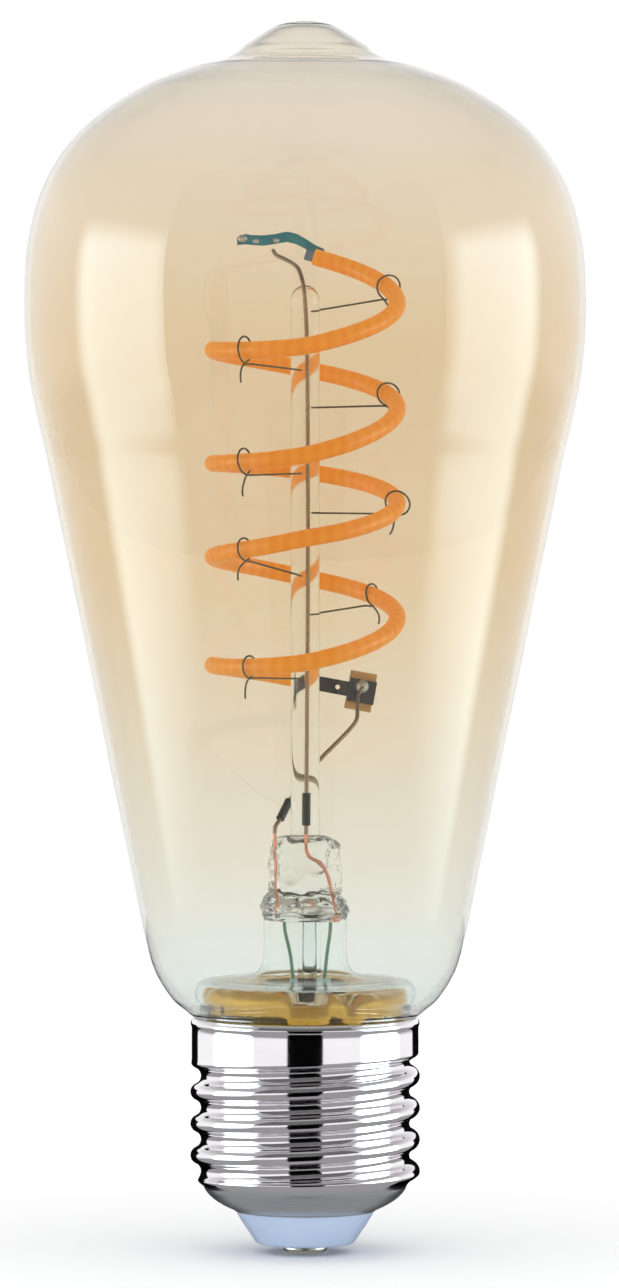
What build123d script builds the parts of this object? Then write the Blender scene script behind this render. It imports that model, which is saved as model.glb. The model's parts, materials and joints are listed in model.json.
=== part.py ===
from build123d import *
import math
import os

os.makedirs("parts", exist_ok=True)

# A pear-shaped LED filament bulb on an E27 screw cap. All sizes are in millimetres.
# The origin is the centre of the end contact's lower face, and +Z points up to the glass crown.
# +Y is the back of the bulb, so -Y is the side that its filament terminals face.

# ---- Screw cap ----
thread_major_radius = 13.1
thread_root_radius = 11.9
thread_pitch = 3.629
thread_crest_radius = 1.025
thread_flank_reach = 1.5
thread_flank_depth = 0.6
thread_relief = 0.8
thread_bore_relief = 0.9
thread_start_height = 8.4
thread_start_angle = -90
thread_height = 12.7
shell_wall = 0.25
skirt_radius = 12.95
skirt_bottom = 22.6
skirt_step = 0.9
rim_height = 26.9
rim_bead = 0.15
shoulder_top = 7.4
shoulder_radius = 10.95
lip_height = 4.8
lip_radius = 8.0

# ---- Insulator and end contact ----
insulator_bottom = 1.0
insulator_bottom_radius = 5.7
insulator_floor = 2.6
insulator_bore_radius = 6.2
insulator_top = 8.4
insulator_edge = 0.4
contact_head_radius = 2.5
contact_shank_radius = 1.2
contact_flange_radius = 2.0
contact_flange = 0.4
contact_edge = 0.5

# ---- Glass envelope ----
bulb_height = 140.5
bulb_radius = 32.0
glass_wall = 0.9
nipple_radius = 9.8
nipple_height = 4.6
# Outlines between two ends, as shares of the width and of the drop from one end to the other.
nipple_shape = [(0.35, 0.14), (0.68, 0.58)]
crown_shape = [(0.18, 0.037), (0.43, 0.12), (0.71, 0.28), (0.89, 0.48), (0.98, 0.72)]
neck_shape = [(0.22, 0.46), (0.55, 0.79)]
neck_end_run = (-0.6, -0.8)
wall_samples_crown = 24
wall_samples_short = 8
belly_height = 107.5
cone_top_height = 90.5
cone_top_radius = 29.4
cone_bottom_height = 36.9
cone_bottom_radius = 18.5
neck_radius = 12.5
neck_bottom = 23.4
neck_seat = 0.1

# ---- Stem: flare, pinch, exhaust tube and rod ----
flare_wall = 0.8
tube_radius = 4.75
tube_wall = 1.0
bell_shoulder_height = 31.2
bell_shoulder_rise = 0.8
bell_corner = 1.8
bell_fillet = 1.6
bell_gap = 0.1
bell_foot = 1.5
pinch_bottom = 38.9
pinch_waist = 42.0
pinch_top = 47.8
pinch_width = 8.1
pinch_depth = 5.2
pinch_corner = 2.2
pinch_top_round = 1.2
exhaust_radius = 1.3
exhaust_bore_radius = 0.75
exhaust_tip_height = 23.5
exhaust_tip_round = 1.04
exhaust_x = 0.5
exhaust_y = 0.8
rod_radius = 1.75
rod_top = 110.4
rod_sink = 1.0
rod_top_round = 0.5

# ---- Filament ----
coil_radius = 10.55
coil_top = 112.7
coil_pitch = 12.3
coil_turns = 4
coil_tilt = 1.7
coil_points_per_turn = 12
jacket_radius = 0.98
strip_width = 1.2
strip_thickness = 0.15
chip_length = 0.7
chip_width = 0.5
chip_height = 0.25
chips_per_turn = 15
chip_seat = 0.01
jacket_bore_radius = 0.7
# The spiral is bent by hand, so each quarter turn lies a little above or below a true helix.
coil_unevenness = [0, -1.2, -1.75, -0.4, -1.0, -0.8, -1.65, -1.0, -0.5,
                   0.6, 1.35, 0.6, -0.5, -0.1, -0.35, 0.6, -0.1]

# ---- Filament terminals ----
terminal_thickness = 0.25
top_terminal_length = 8.2
top_terminal_run = (1, -0.12, -0.13)
terminal_gap = 0.15
top_terminal_width = 1.2
top_pad_radius = 0.4
top_pad_height = 0.2
top_pad_places = [5.6, 7.2]
bottom_terminal_length = 5.2
bottom_terminal_width = 1.7
bottom_hole_radius = 0.28
bottom_hole_place = 3.9
bottom_pad_length = 3.2
bottom_pad_width = 2.7
bottom_pad_thickness = 0.7
film_overhang = 0.9
film_thickness = 0.15
solder_radius = 0.8
solder_place = 1.5
solder_drop = 0.55
solder_height = 0.64
solder_round = 0.6
solder_bury = 0.4

# ---- Support hooks: how many turns down the coil, height on the rod, and loop radius ----
hook_wire_radius = 0.11
hook_root = 0.5
hook_loop_sweep = 300
right_hooks = [(0.18, 107.4, 1.5), (1.18, 96.5, 1.45), (2.25, 84.5, 1.4), (3.13, 72.9, 1.25)]
left_hooks = [(0.61, 100.7, 1.5), (1.61, 89.0, 1.5), (2.61, 77.3, 1.4), (3.6, 65.6, 1.4)]

# ---- Wires ----
lead_radius = 0.24
seal_radius = 0.2
seal_rise = 0.2
seal_sink = 0.6
seal_offset = 0.23
bend_share = 0.45
outer_lead_radius = 0.2
lead_gap = 0.1
lead_sleeve_radius = 0.48
outer_sleeve_left_radius = 0.45
outer_sleeve_right_radius = 0.85
sleeve_bore_gap = 0.02
sleeve_margin = 0.08
top_joint_place = 3.6
upper_sleeve_bottom = 48.6
upper_sleeve_top = 53.0
supply_wire_radius = 0.45
supply_wire_touch = 0.01

# ---- Driver inside the cap ----
insulation_gap = 0.2
insulation_wall = 0.25
insulation_bottom = 10.0
insulation_mouth_radius = 4.3
insulation_corner = 1.5
cement_bottom = 19.0
cement_recess = 0.3
board_thickness = 1.0
board_front = 3.0
board_half_width = 9.2
board_bottom = 11.0
board_top = 28.0
capacitor_radius = 2.5
capacitor_length = 10.0
capacitor_x = -3.2
capacitor_lift = 0.5
capacitor_edge = 0.4
choke_radius = 2.4
choke_flange = 0.4
choke_winding_gap = 0.2
choke_x = 3.6
choke_z = 22.6
choke_core_radius = 1.4
choke_length = 2.6
rectifier_size = (4.7, 2.4, 3.9)
rectifier_x = 4.2
rectifier_z = 14.5
driver_chip_size = (4.9, 1.5, 3.9)
driver_chip_x = -3.9
driver_chip_z = 25.0
film_capacitor_size = (4.4, 3.0, 6.0)
film_capacitor_round = 0.6
film_capacitor_x = -6.1
film_capacitor_z = 22.0
fuse_radius = 1.3
fuse_length = 7.0
fuse_cap = 0.15
fuse_cap_length = 1.0
fuse_x = 7.0
fuse_bottom = 15.5
surface_part_size = (1.6, 0.5, 0.8)
surface_part_places = [(1.0, 27.0), (3.4, 27.0), (5.8, 27.0), (7.6, 18.2), (7.6, 12.2), (-8.0, 20.6)]
wireless_back = -4.8
wireless_thickness = 0.8
wireless_half_width = 6.5
wireless_bottom = 11.5
wireless_top = 26.0
shield_size = (10.0, 1.8, 8.0)
shield_wall = 0.2
shield_margin = 1.0
antenna_thickness = 0.1
antenna_trace = 0.5
antenna_rows = 4
antenna_length = 10.0
pin_size = 0.6
pin_spacing = 2.54
pin_count = 4
pin_height = 13.0

# ---- Sizes worked out from the ones above ----
skirt_bore = skirt_radius - shell_wall
root_bore = thread_root_radius - shell_wall
neck_bore = neck_radius - glass_wall
bell_radius = neck_bore - bell_gap
bell_bore = bell_radius - flare_wall
tube_bore = tube_radius - tube_wall
insulation_radius = bell_bore - insulation_gap
neck_top = rim_height + neck_seat
board_back = board_front + board_thickness
wireless_front = wireless_back - wireless_thickness
contact_top = insulator_bottom + insulator_floor + contact_flange


def coil_level(turns):
    """Height of the filament's centre line, at a number of turns from its upper end."""
    angle = math.radians(90 - 360 * turns)
    quarter = min(int(turns * 4), len(coil_unevenness) - 2)
    share = turns * 4 - quarter
    uneven = coil_unevenness[quarter] * (1 - share) + coil_unevenness[quarter + 1] * share
    return coil_top - coil_pitch * turns + coil_tilt * math.sin(angle) + uneven


def bend_radii(points):
    """One bend radius for each corner of a route, as large as its two runs allow."""
    radii = []
    for before, corner, after in zip(points, points[1:], points[2:]):
        run_in = Vector(*corner) - Vector(*before)
        run_out = Vector(*after) - Vector(*corner)
        half_turn = math.radians(run_in.get_angle(run_out)) / 2
        radii.append(bend_share * min(run_in.length, run_out.length) / math.tan(half_turn))
    return radii


def inset_points(edge, distance, count):
    """Points along an edge, each moved square to it, to the side on its right hand."""
    points = []
    for step in range(count + 1):
        spot = edge @ (step / count)
        along = edge % (step / count)
        points.append((spot.X + along.Y * distance, spot.Y - along.X * distance))
    return points


def round_wire(points, radius, bore=0.0):
    """A round wire along a route of straight runs and bends, or a sleeve if it has a bore."""
    with BuildPart() as wire:
        with BuildLine() as route:
            if len(points) > 2:
                FilletPolyline(*points, radius=bend_radii(points))
            else:
                Line(*points)
        with BuildSketch(Plane(origin=route.line @ 0, z_dir=route.line % 0)):
            Circle(radius)
            if bore:
                Circle(bore, mode=Mode.SUBTRACT)
        sweep(path=route.line)
    return wire


# ---- Cap shell: a thin turned sheet with one rolled thread ----
lip_bore = lip_radius - shell_wall
with BuildPart() as cap_shell:
    with BuildSketch(Plane.XZ):
        with BuildLine():
            Polyline(
                (lip_radius, lip_height),
                (shoulder_radius, shoulder_top),
                (thread_root_radius, shoulder_top + thread_relief),
                (thread_root_radius, skirt_bottom - skirt_step),
                (skirt_radius, skirt_bottom),
                (skirt_radius, rim_height - 3 * rim_bead),
                (skirt_radius + rim_bead, rim_height - rim_bead),
                (skirt_radius, rim_height),
                (skirt_bore, rim_height),
                (skirt_bore, skirt_bottom + shell_wall / 2),
                (root_bore, skirt_bottom - skirt_step + shell_wall / 2),
                (root_bore, shoulder_top + thread_bore_relief),
                (shoulder_radius - shell_wall, shoulder_top + shell_wall),
                (lip_bore, lip_height + shell_wall),
                (lip_bore, lip_height),
                close=True,
            )
        make_face()
    revolve(axis=Axis.Z)
    with BuildLine() as thread_path:
        Helix(thread_pitch, thread_height, thread_root_radius, center=(0, 0, thread_start_height))
    crest_sag = thread_major_radius - thread_root_radius - thread_flank_depth
    crest_half = math.sqrt(thread_crest_radius**2 - (thread_crest_radius - crest_sag) ** 2)
    ridge_foot = thread_root_radius - shell_wall / 2
    with BuildSketch(Plane(origin=(0, 0, thread_start_height), x_dir=(1, 0, 0), z_dir=(0, -1, 0))):
        with BuildLine():
            crest = ThreePointArc(
                (thread_major_radius - crest_sag, -crest_half),
                (thread_major_radius, 0),
                (thread_major_radius - crest_sag, crest_half),
            )
            Polyline(
                crest @ 1,
                (ridge_foot, thread_flank_reach),
                (ridge_foot, -thread_flank_reach),
                crest @ 0,
            )
        make_face()
    sweep(path=thread_path.wire(), is_frenet=True)
# The shell is round, so turning it whole sets where the thread starts.
shell = cap_shell.part.rotate(Axis.Z, thread_start_angle)
shell.label = "cap_shell"
export_step(shell, "parts/cap_shell.step")

# ---- Cap insulator: a cone held in the shell's lower end, hollow above its floor ----
shoulder_slope = (shoulder_top - lip_height) / (shoulder_radius - lip_radius)
insulator_rim = shoulder_radius - 2 * shell_wall
with BuildPart() as cap_insulator:
    with BuildSketch(Plane.XZ):
        with BuildLine():
            Polyline(
                (contact_shank_radius, insulator_bottom),
                (insulator_bottom_radius - insulator_edge, insulator_bottom),
                (insulator_bottom_radius, insulator_bottom + insulator_edge),
                (lip_radius, lip_height),
                (lip_bore, lip_height),
                (lip_bore, lip_height + shell_wall),
                (insulator_rim, lip_height + shell_wall + shoulder_slope * (insulator_rim - lip_bore)),
                (insulator_rim, insulator_top),
                (insulator_bore_radius, insulator_top),
                (insulator_bore_radius, insulator_bottom + insulator_floor),
                (contact_shank_radius, insulator_bottom + insulator_floor),
                close=True,
            )
        make_face()
    revolve(axis=Axis.Z)
    add(shell, mode=Mode.SUBTRACT)
cap_insulator.part.label = "cap_insulator"
export_step(cap_insulator.part, "parts/cap_insulator.step")

# ---- End contact: a rivet through the insulator's floor ----
with BuildPart() as end_contact:
    with BuildSketch(Plane.XY):
        Circle(contact_head_radius)
    extrude(amount=insulator_bottom)
    fillet(end_contact.edges().group_by(Axis.Z)[0], radius=contact_edge)
    with BuildSketch(Plane.XY.offset(insulator_bottom)):
        Circle(contact_shank_radius)
    extrude(amount=insulator_floor)
    with BuildSketch(Plane.XY.offset(insulator_bottom + insulator_floor)):
        Circle(contact_flange_radius)
    extrude(amount=contact_flange)
end_contact.part.label = "end_contact"
export_step(end_contact.part, "parts/end_contact.step")

# ---- Glass envelope: nipple, crown, belly, straight cone and neck ----
crown_width = bulb_radius - nipple_radius
crown_base = bulb_height - nipple_height
crown_drop = crown_base - belly_height
crown_points = [(0, bulb_height)]
for u, v in nipple_shape:
    crown_points += [(nipple_radius * u, bulb_height - nipple_height * v)]
crown_points += [(nipple_radius, crown_base)]
for u, v in crown_shape:
    crown_points += [(nipple_radius + crown_width * u, crown_base - crown_drop * v)]
crown_points += [(bulb_radius, belly_height)]
cone_run = (cone_bottom_radius - cone_top_radius, cone_bottom_height - cone_top_height)
neck_reach = cone_bottom_radius - neck_radius
neck_drop = cone_bottom_height - neck_top
neck_points = [(cone_bottom_radius, cone_bottom_height)]
for u, v in neck_shape:
    neck_points += [(cone_bottom_radius - neck_reach * u, cone_bottom_height - neck_drop * v)]
neck_points += [(neck_radius, neck_top)]
crown = Spline(*crown_points, tangents=[(1, 0), (0, -1)], tangent_scalars=[1, 1])
belly = Spline(
    (bulb_radius, belly_height),
    (cone_top_radius, cone_top_height),
    tangents=[(0, -1), cone_run],
)
neck = Spline(*neck_points, tangents=[cone_run, neck_end_run])
inner_crown = inset_points(crown, glass_wall, wall_samples_crown)
inner_belly = inset_points(belly, glass_wall, wall_samples_short)
inner_neck = inset_points(neck, glass_wall, wall_samples_short)[:-1] + [(neck_bore, neck_top - glass_wall)]
with BuildPart() as glass_envelope:
    with BuildSketch(Plane.XZ):
        with BuildLine():
            add(crown)
            add(belly)
            Line(belly @ 1, neck @ 0)
            add(neck)
            Polyline(neck @ 1, (neck_radius, neck_bottom), (neck_bore, neck_bottom), inner_neck[-1])
            Spline(*reversed(inner_neck))
            Line(inner_neck[0], inner_belly[-1])
            Spline(*reversed(inner_belly))
            Spline(*reversed(inner_crown))
            Line(inner_crown[0], (0, bulb_height))
        make_face()
    revolve(axis=Axis.Z)
glass_envelope.part.label = "glass_envelope"
export_step(glass_envelope.part, "parts/glass_envelope.step")

# ---- Stem flare: a glass tube that opens into a bell and closes the neck ----
bell_edge_height = bell_shoulder_height - bell_shoulder_rise
with BuildPart() as stem_flare:
    with BuildSketch(Plane.XZ):
        with BuildLine():
            FilletPolyline(
                (tube_radius, pinch_bottom),
                (tube_radius, bell_shoulder_height),
                (bell_radius, bell_edge_height),
                (bell_radius, neck_bottom + bell_foot),
                radius=[bell_fillet, bell_corner],
            )
            Polyline(
                (bell_radius, neck_bottom + bell_foot),
                (neck_bore, neck_bottom + bell_foot - bell_gap),
                (neck_bore, neck_bottom),
                (bell_bore, neck_bottom),
            )
            FilletPolyline(
                (bell_bore, neck_bottom),
                (bell_bore, bell_edge_height - flare_wall),
                (tube_bore, bell_shoulder_height - flare_wall),
                (tube_bore, pinch_bottom),
                radius=[bell_corner - flare_wall / 2, bell_fillet + flare_wall],
            )
            Line((tube_bore, pinch_bottom), (tube_radius, pinch_bottom))
        make_face()
    revolve(axis=Axis.Z)
stem_flare.part.label = "stem_flare"
export_step(stem_flare.part, "parts/stem_flare.step")

# ---- Filament: one flexible strip of chips in a phosphor jacket, wound in a spiral ----
corner_radius = coil_radius / math.cos(math.pi / coil_points_per_turn)
coil_route = []
for step in range(coil_turns * coil_points_per_turn + 1):
    turns_down = step / coil_points_per_turn
    bearing = math.radians(90 - 360 * turns_down)
    reach = coil_radius if step in (0, coil_turns * coil_points_per_turn) else corner_radius
    coil_route.append((reach * math.cos(bearing), reach * math.sin(bearing), coil_level(turns_down)))
with BuildLine() as coil_line:
    FilletPolyline(*coil_route, radius=bend_radii(coil_route))
coil_wire = coil_line.wire()
coil_start = coil_wire @ 0
coil_end = coil_wire @ 1
# A frame's x runs down the coil, its y across the strip, and its z out of the coil.
start_run = coil_wire % 0
end_run = coil_wire % 1
start_frame = Plane(origin=coil_start, x_dir=start_run, z_dir=Vector(0, 0, 1).cross(start_run))
tail_run = Vector(*top_terminal_run).normalized()
tail_frame = Plane(
    origin=coil_start - tail_run * terminal_gap,
    x_dir=tail_run,
    z_dir=Vector(0, 0, 1).cross(tail_run),
)
end_frame = Plane(origin=coil_end, x_dir=end_run, z_dir=Vector(0, 0, 1).cross(end_run))
section_plane = Plane(origin=coil_start, x_dir=start_frame.z_dir, z_dir=start_run)
with BuildPart() as filament_jacket:
    with BuildSketch(section_plane):
        Circle(jacket_radius)
        Circle(jacket_bore_radius, mode=Mode.SUBTRACT)
    sweep(path=coil_wire)
filament_jacket.part.label = "filament_jacket"
export_step(filament_jacket.part, "parts/filament_jacket.step")

with BuildPart() as filament_strip:
    with BuildSketch(section_plane):
        Rectangle(strip_thickness, strip_width)
    sweep(path=coil_wire)
filament_strip.part.label = "filament_strip"
export_step(filament_strip.part, "parts/filament_strip.step")

# The chips are one bar beside the strip, kept only where a chip stands.
with BuildPart() as chip_stations:
    for chip in range(coil_turns * chips_per_turn):
        share = (chip + 0.5) / (coil_turns * chips_per_turn)
        with BuildSketch(Plane(origin=coil_wire @ share, z_dir=coil_wire % share)):
            Circle(jacket_radius)
        extrude(amount=chip_length / 2, both=True)
with BuildPart() as filament_chips:
    with BuildSketch(section_plane):
        with Locations((strip_thickness / 2 + chip_seat + chip_height / 2, 0)):
            Rectangle(chip_height, chip_width)
    sweep(path=coil_wire)
    add(chip_stations.part, mode=Mode.INTERSECT)
filament_chips.part.label = "filament_chips"
export_step(filament_chips.part, "parts/filament_chips.step")

# ---- Filament terminals: the strip's two bare ends ----
with BuildPart() as top_terminal:
    with BuildSketch(tail_frame):
        with Locations((-top_terminal_length / 2, 0)):
            Rectangle(top_terminal_length, top_terminal_width)
    extrude(amount=terminal_thickness / 2, both=True)
top_terminal.part.label = "top_terminal"
export_step(top_terminal.part, "parts/top_terminal.step")

with BuildPart() as top_terminal_pads:
    with BuildSketch(tail_frame.offset(-terminal_thickness / 2)):
        with Locations(*[(-place, 0) for place in top_pad_places]):
            Circle(top_pad_radius)
    extrude(amount=-top_pad_height)
top_terminal_pads.part.label = "top_terminal_pads"
export_step(top_terminal_pads.part, "parts/top_terminal_pads.step")

with BuildPart() as bottom_terminal:
    with BuildSketch(end_frame):
        with Locations((bottom_terminal_length / 2, 0)):
            Rectangle(bottom_terminal_length, bottom_terminal_width)
        with Locations((bottom_hole_place, 0)):
            Circle(bottom_hole_radius, mode=Mode.SUBTRACT)
    extrude(amount=terminal_thickness / 2, both=True)
bottom_terminal.part.label = "bottom_terminal"
export_step(bottom_terminal.part, "parts/bottom_terminal.step")

pad_centre = bottom_terminal_length + bottom_pad_length / 2
with BuildPart() as bottom_terminal_pad:
    with BuildSketch(end_frame):
        with Locations((pad_centre, 0)):
            Rectangle(bottom_pad_length, bottom_pad_width)
    extrude(amount=bottom_pad_thickness / 2, both=True)
bottom_terminal_pad.part.label = "bottom_terminal_pad"
export_step(bottom_terminal_pad.part, "parts/bottom_terminal_pad.step")

with BuildPart() as bottom_terminal_film:
    with BuildSketch(end_frame.offset(bottom_pad_thickness / 2)):
        with Locations((pad_centre, 0)):
            Rectangle(bottom_pad_length, bottom_pad_width + 2 * film_overhang)
    extrude(amount=film_thickness)
bottom_terminal_film.part.label = "bottom_terminal_film"
export_step(bottom_terminal_film.part, "parts/bottom_terminal_film.step")

# ---- Stem glass ----
with BuildPart() as support_rod:
    with BuildSketch(Plane.XY.offset(pinch_top - rod_sink)):
        Circle(rod_radius)
    extrude(amount=rod_top - pinch_top + rod_sink)
    fillet(support_rod.edges().group_by(Axis.Z)[-1], radius=rod_top_round)

# ---- Support hooks: each runs out of the rod and loops round the filament ----
def support_hook(turns, rod_height, loop_radius):
    """A wire in the upright plane through the axis, from inside the rod to a loop round the coil."""
    bearing = math.radians(90 - 360 * turns)
    hook_plane = Plane(
        origin=(0, 0, 0),
        x_dir=(math.cos(bearing), math.sin(bearing), 0),
        z_dir=(math.sin(bearing), -math.cos(bearing), 0),
    )
    loop_level = coil_level(turns)
    distance = math.hypot(coil_radius - hook_root, loop_level - rod_height)
    rise = math.atan2(loop_level - rod_height, coil_radius - hook_root)
    heading = rise - math.asin(loop_radius / distance)
    meeting = (
        coil_radius + loop_radius * math.sin(heading),
        loop_level - loop_radius * math.cos(heading),
    )
    with BuildPart() as hook:
        with BuildLine(hook_plane) as route:
            Line((hook_root, rod_height), meeting)
            CenterArc((coil_radius, loop_level), loop_radius, math.degrees(heading) - 90, hook_loop_sweep)
        hook_wire = route.wire()
        with BuildSketch(Plane(origin=hook_wire @ 0, z_dir=hook_wire % 0)):
            Circle(hook_wire_radius)
        sweep(path=hook_wire)
    return hook


hooks = []
for side, places in (("right", right_hooks), ("left", left_hooks)):
    for number, (turns, rod_height, loop_radius) in enumerate(places, start=1):
        hook = support_hook(turns, rod_height, loop_radius)
        hook.part.label = f"support_hook_{side}_{number}"
        export_step(hook.part, f"parts/support_hook_{side}_{number}.step")
        hooks.append(hook)
with support_rod:
    for hook in hooks:
        add(hook.part, mode=Mode.SUBTRACT)
support_rod.part.label = "support_rod"
export_step(support_rod.part, "parts/support_rod.step")

# ---- Wires between the filament and the pinch ----
seal_top = pinch_top + seal_rise
seal_bottom = pinch_bottom - seal_sink
front_of_rod = -(rod_radius + lead_gap + lead_sleeve_radius)
seal_front = front_of_rod + seal_offset
right_seal_points = [
    (0.1, seal_front, seal_top),
    (0.1, seal_front, seal_top - 1.5),
    (0.4, seal_front + 0.05, seal_top - 2.7),
    (1.7, -1.9, seal_top - 3.3),
    (2.6, -1.5, seal_top - 4.7),
    (3.0, -1.2, seal_top - 7.0),
    (2.9, -1.1, seal_bottom),
]
left_seal_points = [
    (-3.45, -0.9, seal_top),
    (-3.4, -0.9, seal_top - 2.0),
    (-3.15, -0.9, seal_top - 3.8),
    (-3.4, -0.9, seal_top - 6.0),
    (-2.4, -0.9, seal_bottom),
]
seal_wire_right = round_wire(right_seal_points, seal_radius)
seal_wire_right.part.label = "seal_wire_right"
export_step(seal_wire_right.part, "parts/seal_wire_right.step")
seal_wire_left = round_wire(left_seal_points, seal_radius)
seal_wire_left.part.label = "seal_wire_left"
export_step(seal_wire_left.part, "parts/seal_wire_left.step")

top_joint = tail_frame.origin - tail_run * top_joint_place - tail_frame.z_dir * (terminal_thickness / 2)
upper_lead_points = [
    tuple(top_joint),
    (top_joint.X + 0.3, top_joint.Y - 1.6, top_joint.Z - 0.6),
    (-1.6, 4.0, rod_top + 2.8),
    (-0.7, -0.3, rod_top + 1.9),
    (-0.1, front_of_rod - 0.3, rod_top - 0.3),
    (0.25, front_of_rod, rod_top - 6.0),
    (0.35, front_of_rod, 80.0),
    (0.15, front_of_rod, upper_sleeve_top),
    (0.12, front_of_rod, upper_sleeve_bottom),
    (0.1, seal_front, seal_top),
]
upper_lead_wire = round_wire(upper_lead_points, lead_radius)
upper_lead_wire.part.label = "upper_lead_wire"
export_step(upper_lead_wire.part, "parts/upper_lead_wire.step")

# The solder joint is a dome on the pad's inner face, and the lower lead starts inside it.
solder_plane = end_frame.offset(-bottom_pad_thickness / 2)
solder_spot = solder_plane.from_local_coords(Vector(bottom_terminal_length + solder_place, -solder_drop, 0))
inward = end_frame.z_dir * -1
lower_lead_start = solder_spot + inward * solder_bury
lower_sleeve_top = (-1.75, 1.6, 51.8)
lower_sleeve_bottom = (-2.95, -0.35, 49.4)
lower_lead_points = [
    tuple(lower_lead_start),
    (lower_lead_start.X - 0.6, lower_lead_start.Y - 1.0, lower_lead_start.Z - 1.0),
    (6.0, 5.2, 60.6),
    (4.4, 4.4, 58.9),
    (1.0, 3.3, 55.6),
    lower_sleeve_top,
    lower_sleeve_bottom,
    (-3.45, -0.9, seal_top + 0.7),
    (-3.45, -0.9, seal_top),
]
lower_lead_wire = round_wire(lower_lead_points, lead_radius)
lower_lead_wire.part.label = "lower_lead_wire"
export_step(lower_lead_wire.part, "parts/lower_lead_wire.step")

with BuildPart() as bottom_solder:
    with BuildSketch(solder_plane):
        with Locations((bottom_terminal_length + solder_place, -solder_drop)):
            Circle(solder_radius)
    extrude(amount=-solder_height)
    fillet(bottom_solder.faces().sort_by(Axis(solder_spot, inward))[-1].edges(), radius=solder_round)
    add(lower_lead_wire.part, mode=Mode.SUBTRACT)
bottom_solder.part.label = "bottom_solder"
export_step(bottom_solder.part, "parts/bottom_solder.step")

# The black sleeves sit on the straight runs, inside the bends at each end.
lead_bore = lead_radius + sleeve_bore_gap
sleeve_ends = (
    ("upper_lead_sleeve", upper_lead_points[7], upper_lead_points[8]),
    ("lower_lead_sleeve", lower_lead_points[5], lower_lead_points[6]),
)
for name, high, low in sleeve_ends:
    run = Vector(*low) - Vector(*high)
    near = Vector(*high) + run * sleeve_margin
    far = Vector(*low) - run * sleeve_margin
    sleeve = round_wire([tuple(near), tuple(far)], lead_sleeve_radius, lead_bore)
    sleeve.part.label = name
    export_step(sleeve.part, f"parts/{name}.step")

# ---- Pinch: the pressed top of the stem, with the wires sealed through it ----
with BuildPart() as stem_pinch:
    with BuildSketch(Plane.XY.offset(pinch_bottom)):
        Circle(tube_radius)
    with BuildSketch(Plane.XY.offset(pinch_waist)):
        RectangleRounded(pinch_width, pinch_depth, pinch_corner)
    loft()
    with BuildSketch(Plane.XY.offset(pinch_waist)):
        RectangleRounded(pinch_width, pinch_depth, pinch_corner)
    extrude(amount=pinch_top - pinch_waist)
    fillet(stem_pinch.edges().group_by(Axis.Z)[-1], radius=pinch_top_round)
    with BuildSketch(Plane.XY.offset(pinch_top)):
        Circle(rod_radius)
    extrude(amount=-rod_sink, mode=Mode.SUBTRACT)
    add(seal_wire_right.part, mode=Mode.SUBTRACT)
    add(seal_wire_left.part, mode=Mode.SUBTRACT)
stem_pinch.part.label = "stem_pinch"
export_step(stem_pinch.part, "parts/stem_pinch.step")

exhaust_place = (exhaust_x, exhaust_y)
with BuildPart() as exhaust_tube:
    with BuildSketch(Plane.XY.offset(exhaust_tip_height)):
        with Locations(exhaust_place):
            Circle(exhaust_radius)
    extrude(amount=pinch_bottom - exhaust_tip_height)
    fillet(exhaust_tube.edges().group_by(Axis.Z)[0], radius=exhaust_tip_round)
    with BuildSketch(Plane.XY.offset(pinch_bottom)):
        with Locations(exhaust_place):
            Circle(exhaust_bore_radius)
    extrude(amount=exhaust_tip_height + exhaust_radius - pinch_bottom, mode=Mode.SUBTRACT)
exhaust_tube.part.label = "exhaust_tube"
export_step(exhaust_tube.part, "parts/exhaust_tube.step")

# ---- Driver board, upright across the cap ----
with BuildPart() as driver_board:
    with BuildSketch(Plane.XZ.offset(-board_front)):
        with Locations((0, (board_top + board_bottom) / 2)):
            Rectangle(2 * board_half_width, board_top - board_bottom)
    extrude(amount=-board_thickness)
driver_board.part.label = "driver_board"
export_step(driver_board.part, "parts/driver_board.step")

# ---- Outer leads: from the seal wires down through the flare to the board ----
right_lead_points = [
    (2.9, -1.1, seal_bottom),
    (2.85, -1.15, seal_bottom - 1.6),
    (2.5, -1.5, 34.5),
    (2.2, -1.7, 31.4),
    (1.75, -1.8, 27.3),
    (2.2, -1.0, 25.2),
    (3.3, 1.0, 24.3),
    (3.4, board_front, 24.2),
]
left_lead_points = [
    (-2.4, -0.9, seal_bottom),
    (-2.3, -1.0, seal_bottom - 1.6),
    (-1.7, -1.4, 34.5),
    (-1.35, -1.6, 31.4),
    (-1.3, -1.7, 27.3),
    (-1.6, -1.0, 25.2),
    (-2.2, 1.0, 24.3),
    (-2.3, board_front, 24.2),
]
outer_bore = outer_lead_radius + sleeve_bore_gap
outer_leads = (
    ("right", right_lead_points, outer_sleeve_right_radius),
    ("left", left_lead_points, outer_sleeve_left_radius),
)
for side, points, sleeve_radius in outer_leads:
    outer_lead = round_wire(points, outer_lead_radius)
    outer_lead.part.label = f"outer_lead_{side}"
    export_step(outer_lead.part, f"parts/outer_lead_{side}.step")
    high = Vector(*points[3])
    run = Vector(*points[4]) - high
    ends = [tuple(high + run * sleeve_margin), tuple(high + run * (1 - sleeve_margin))]
    outer_sleeve = round_wire(ends, sleeve_radius, outer_bore)
    outer_sleeve.part.label = f"outer_lead_sleeve_{side}"
    export_step(outer_sleeve.part, f"parts/outer_lead_sleeve_{side}.step")

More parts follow.
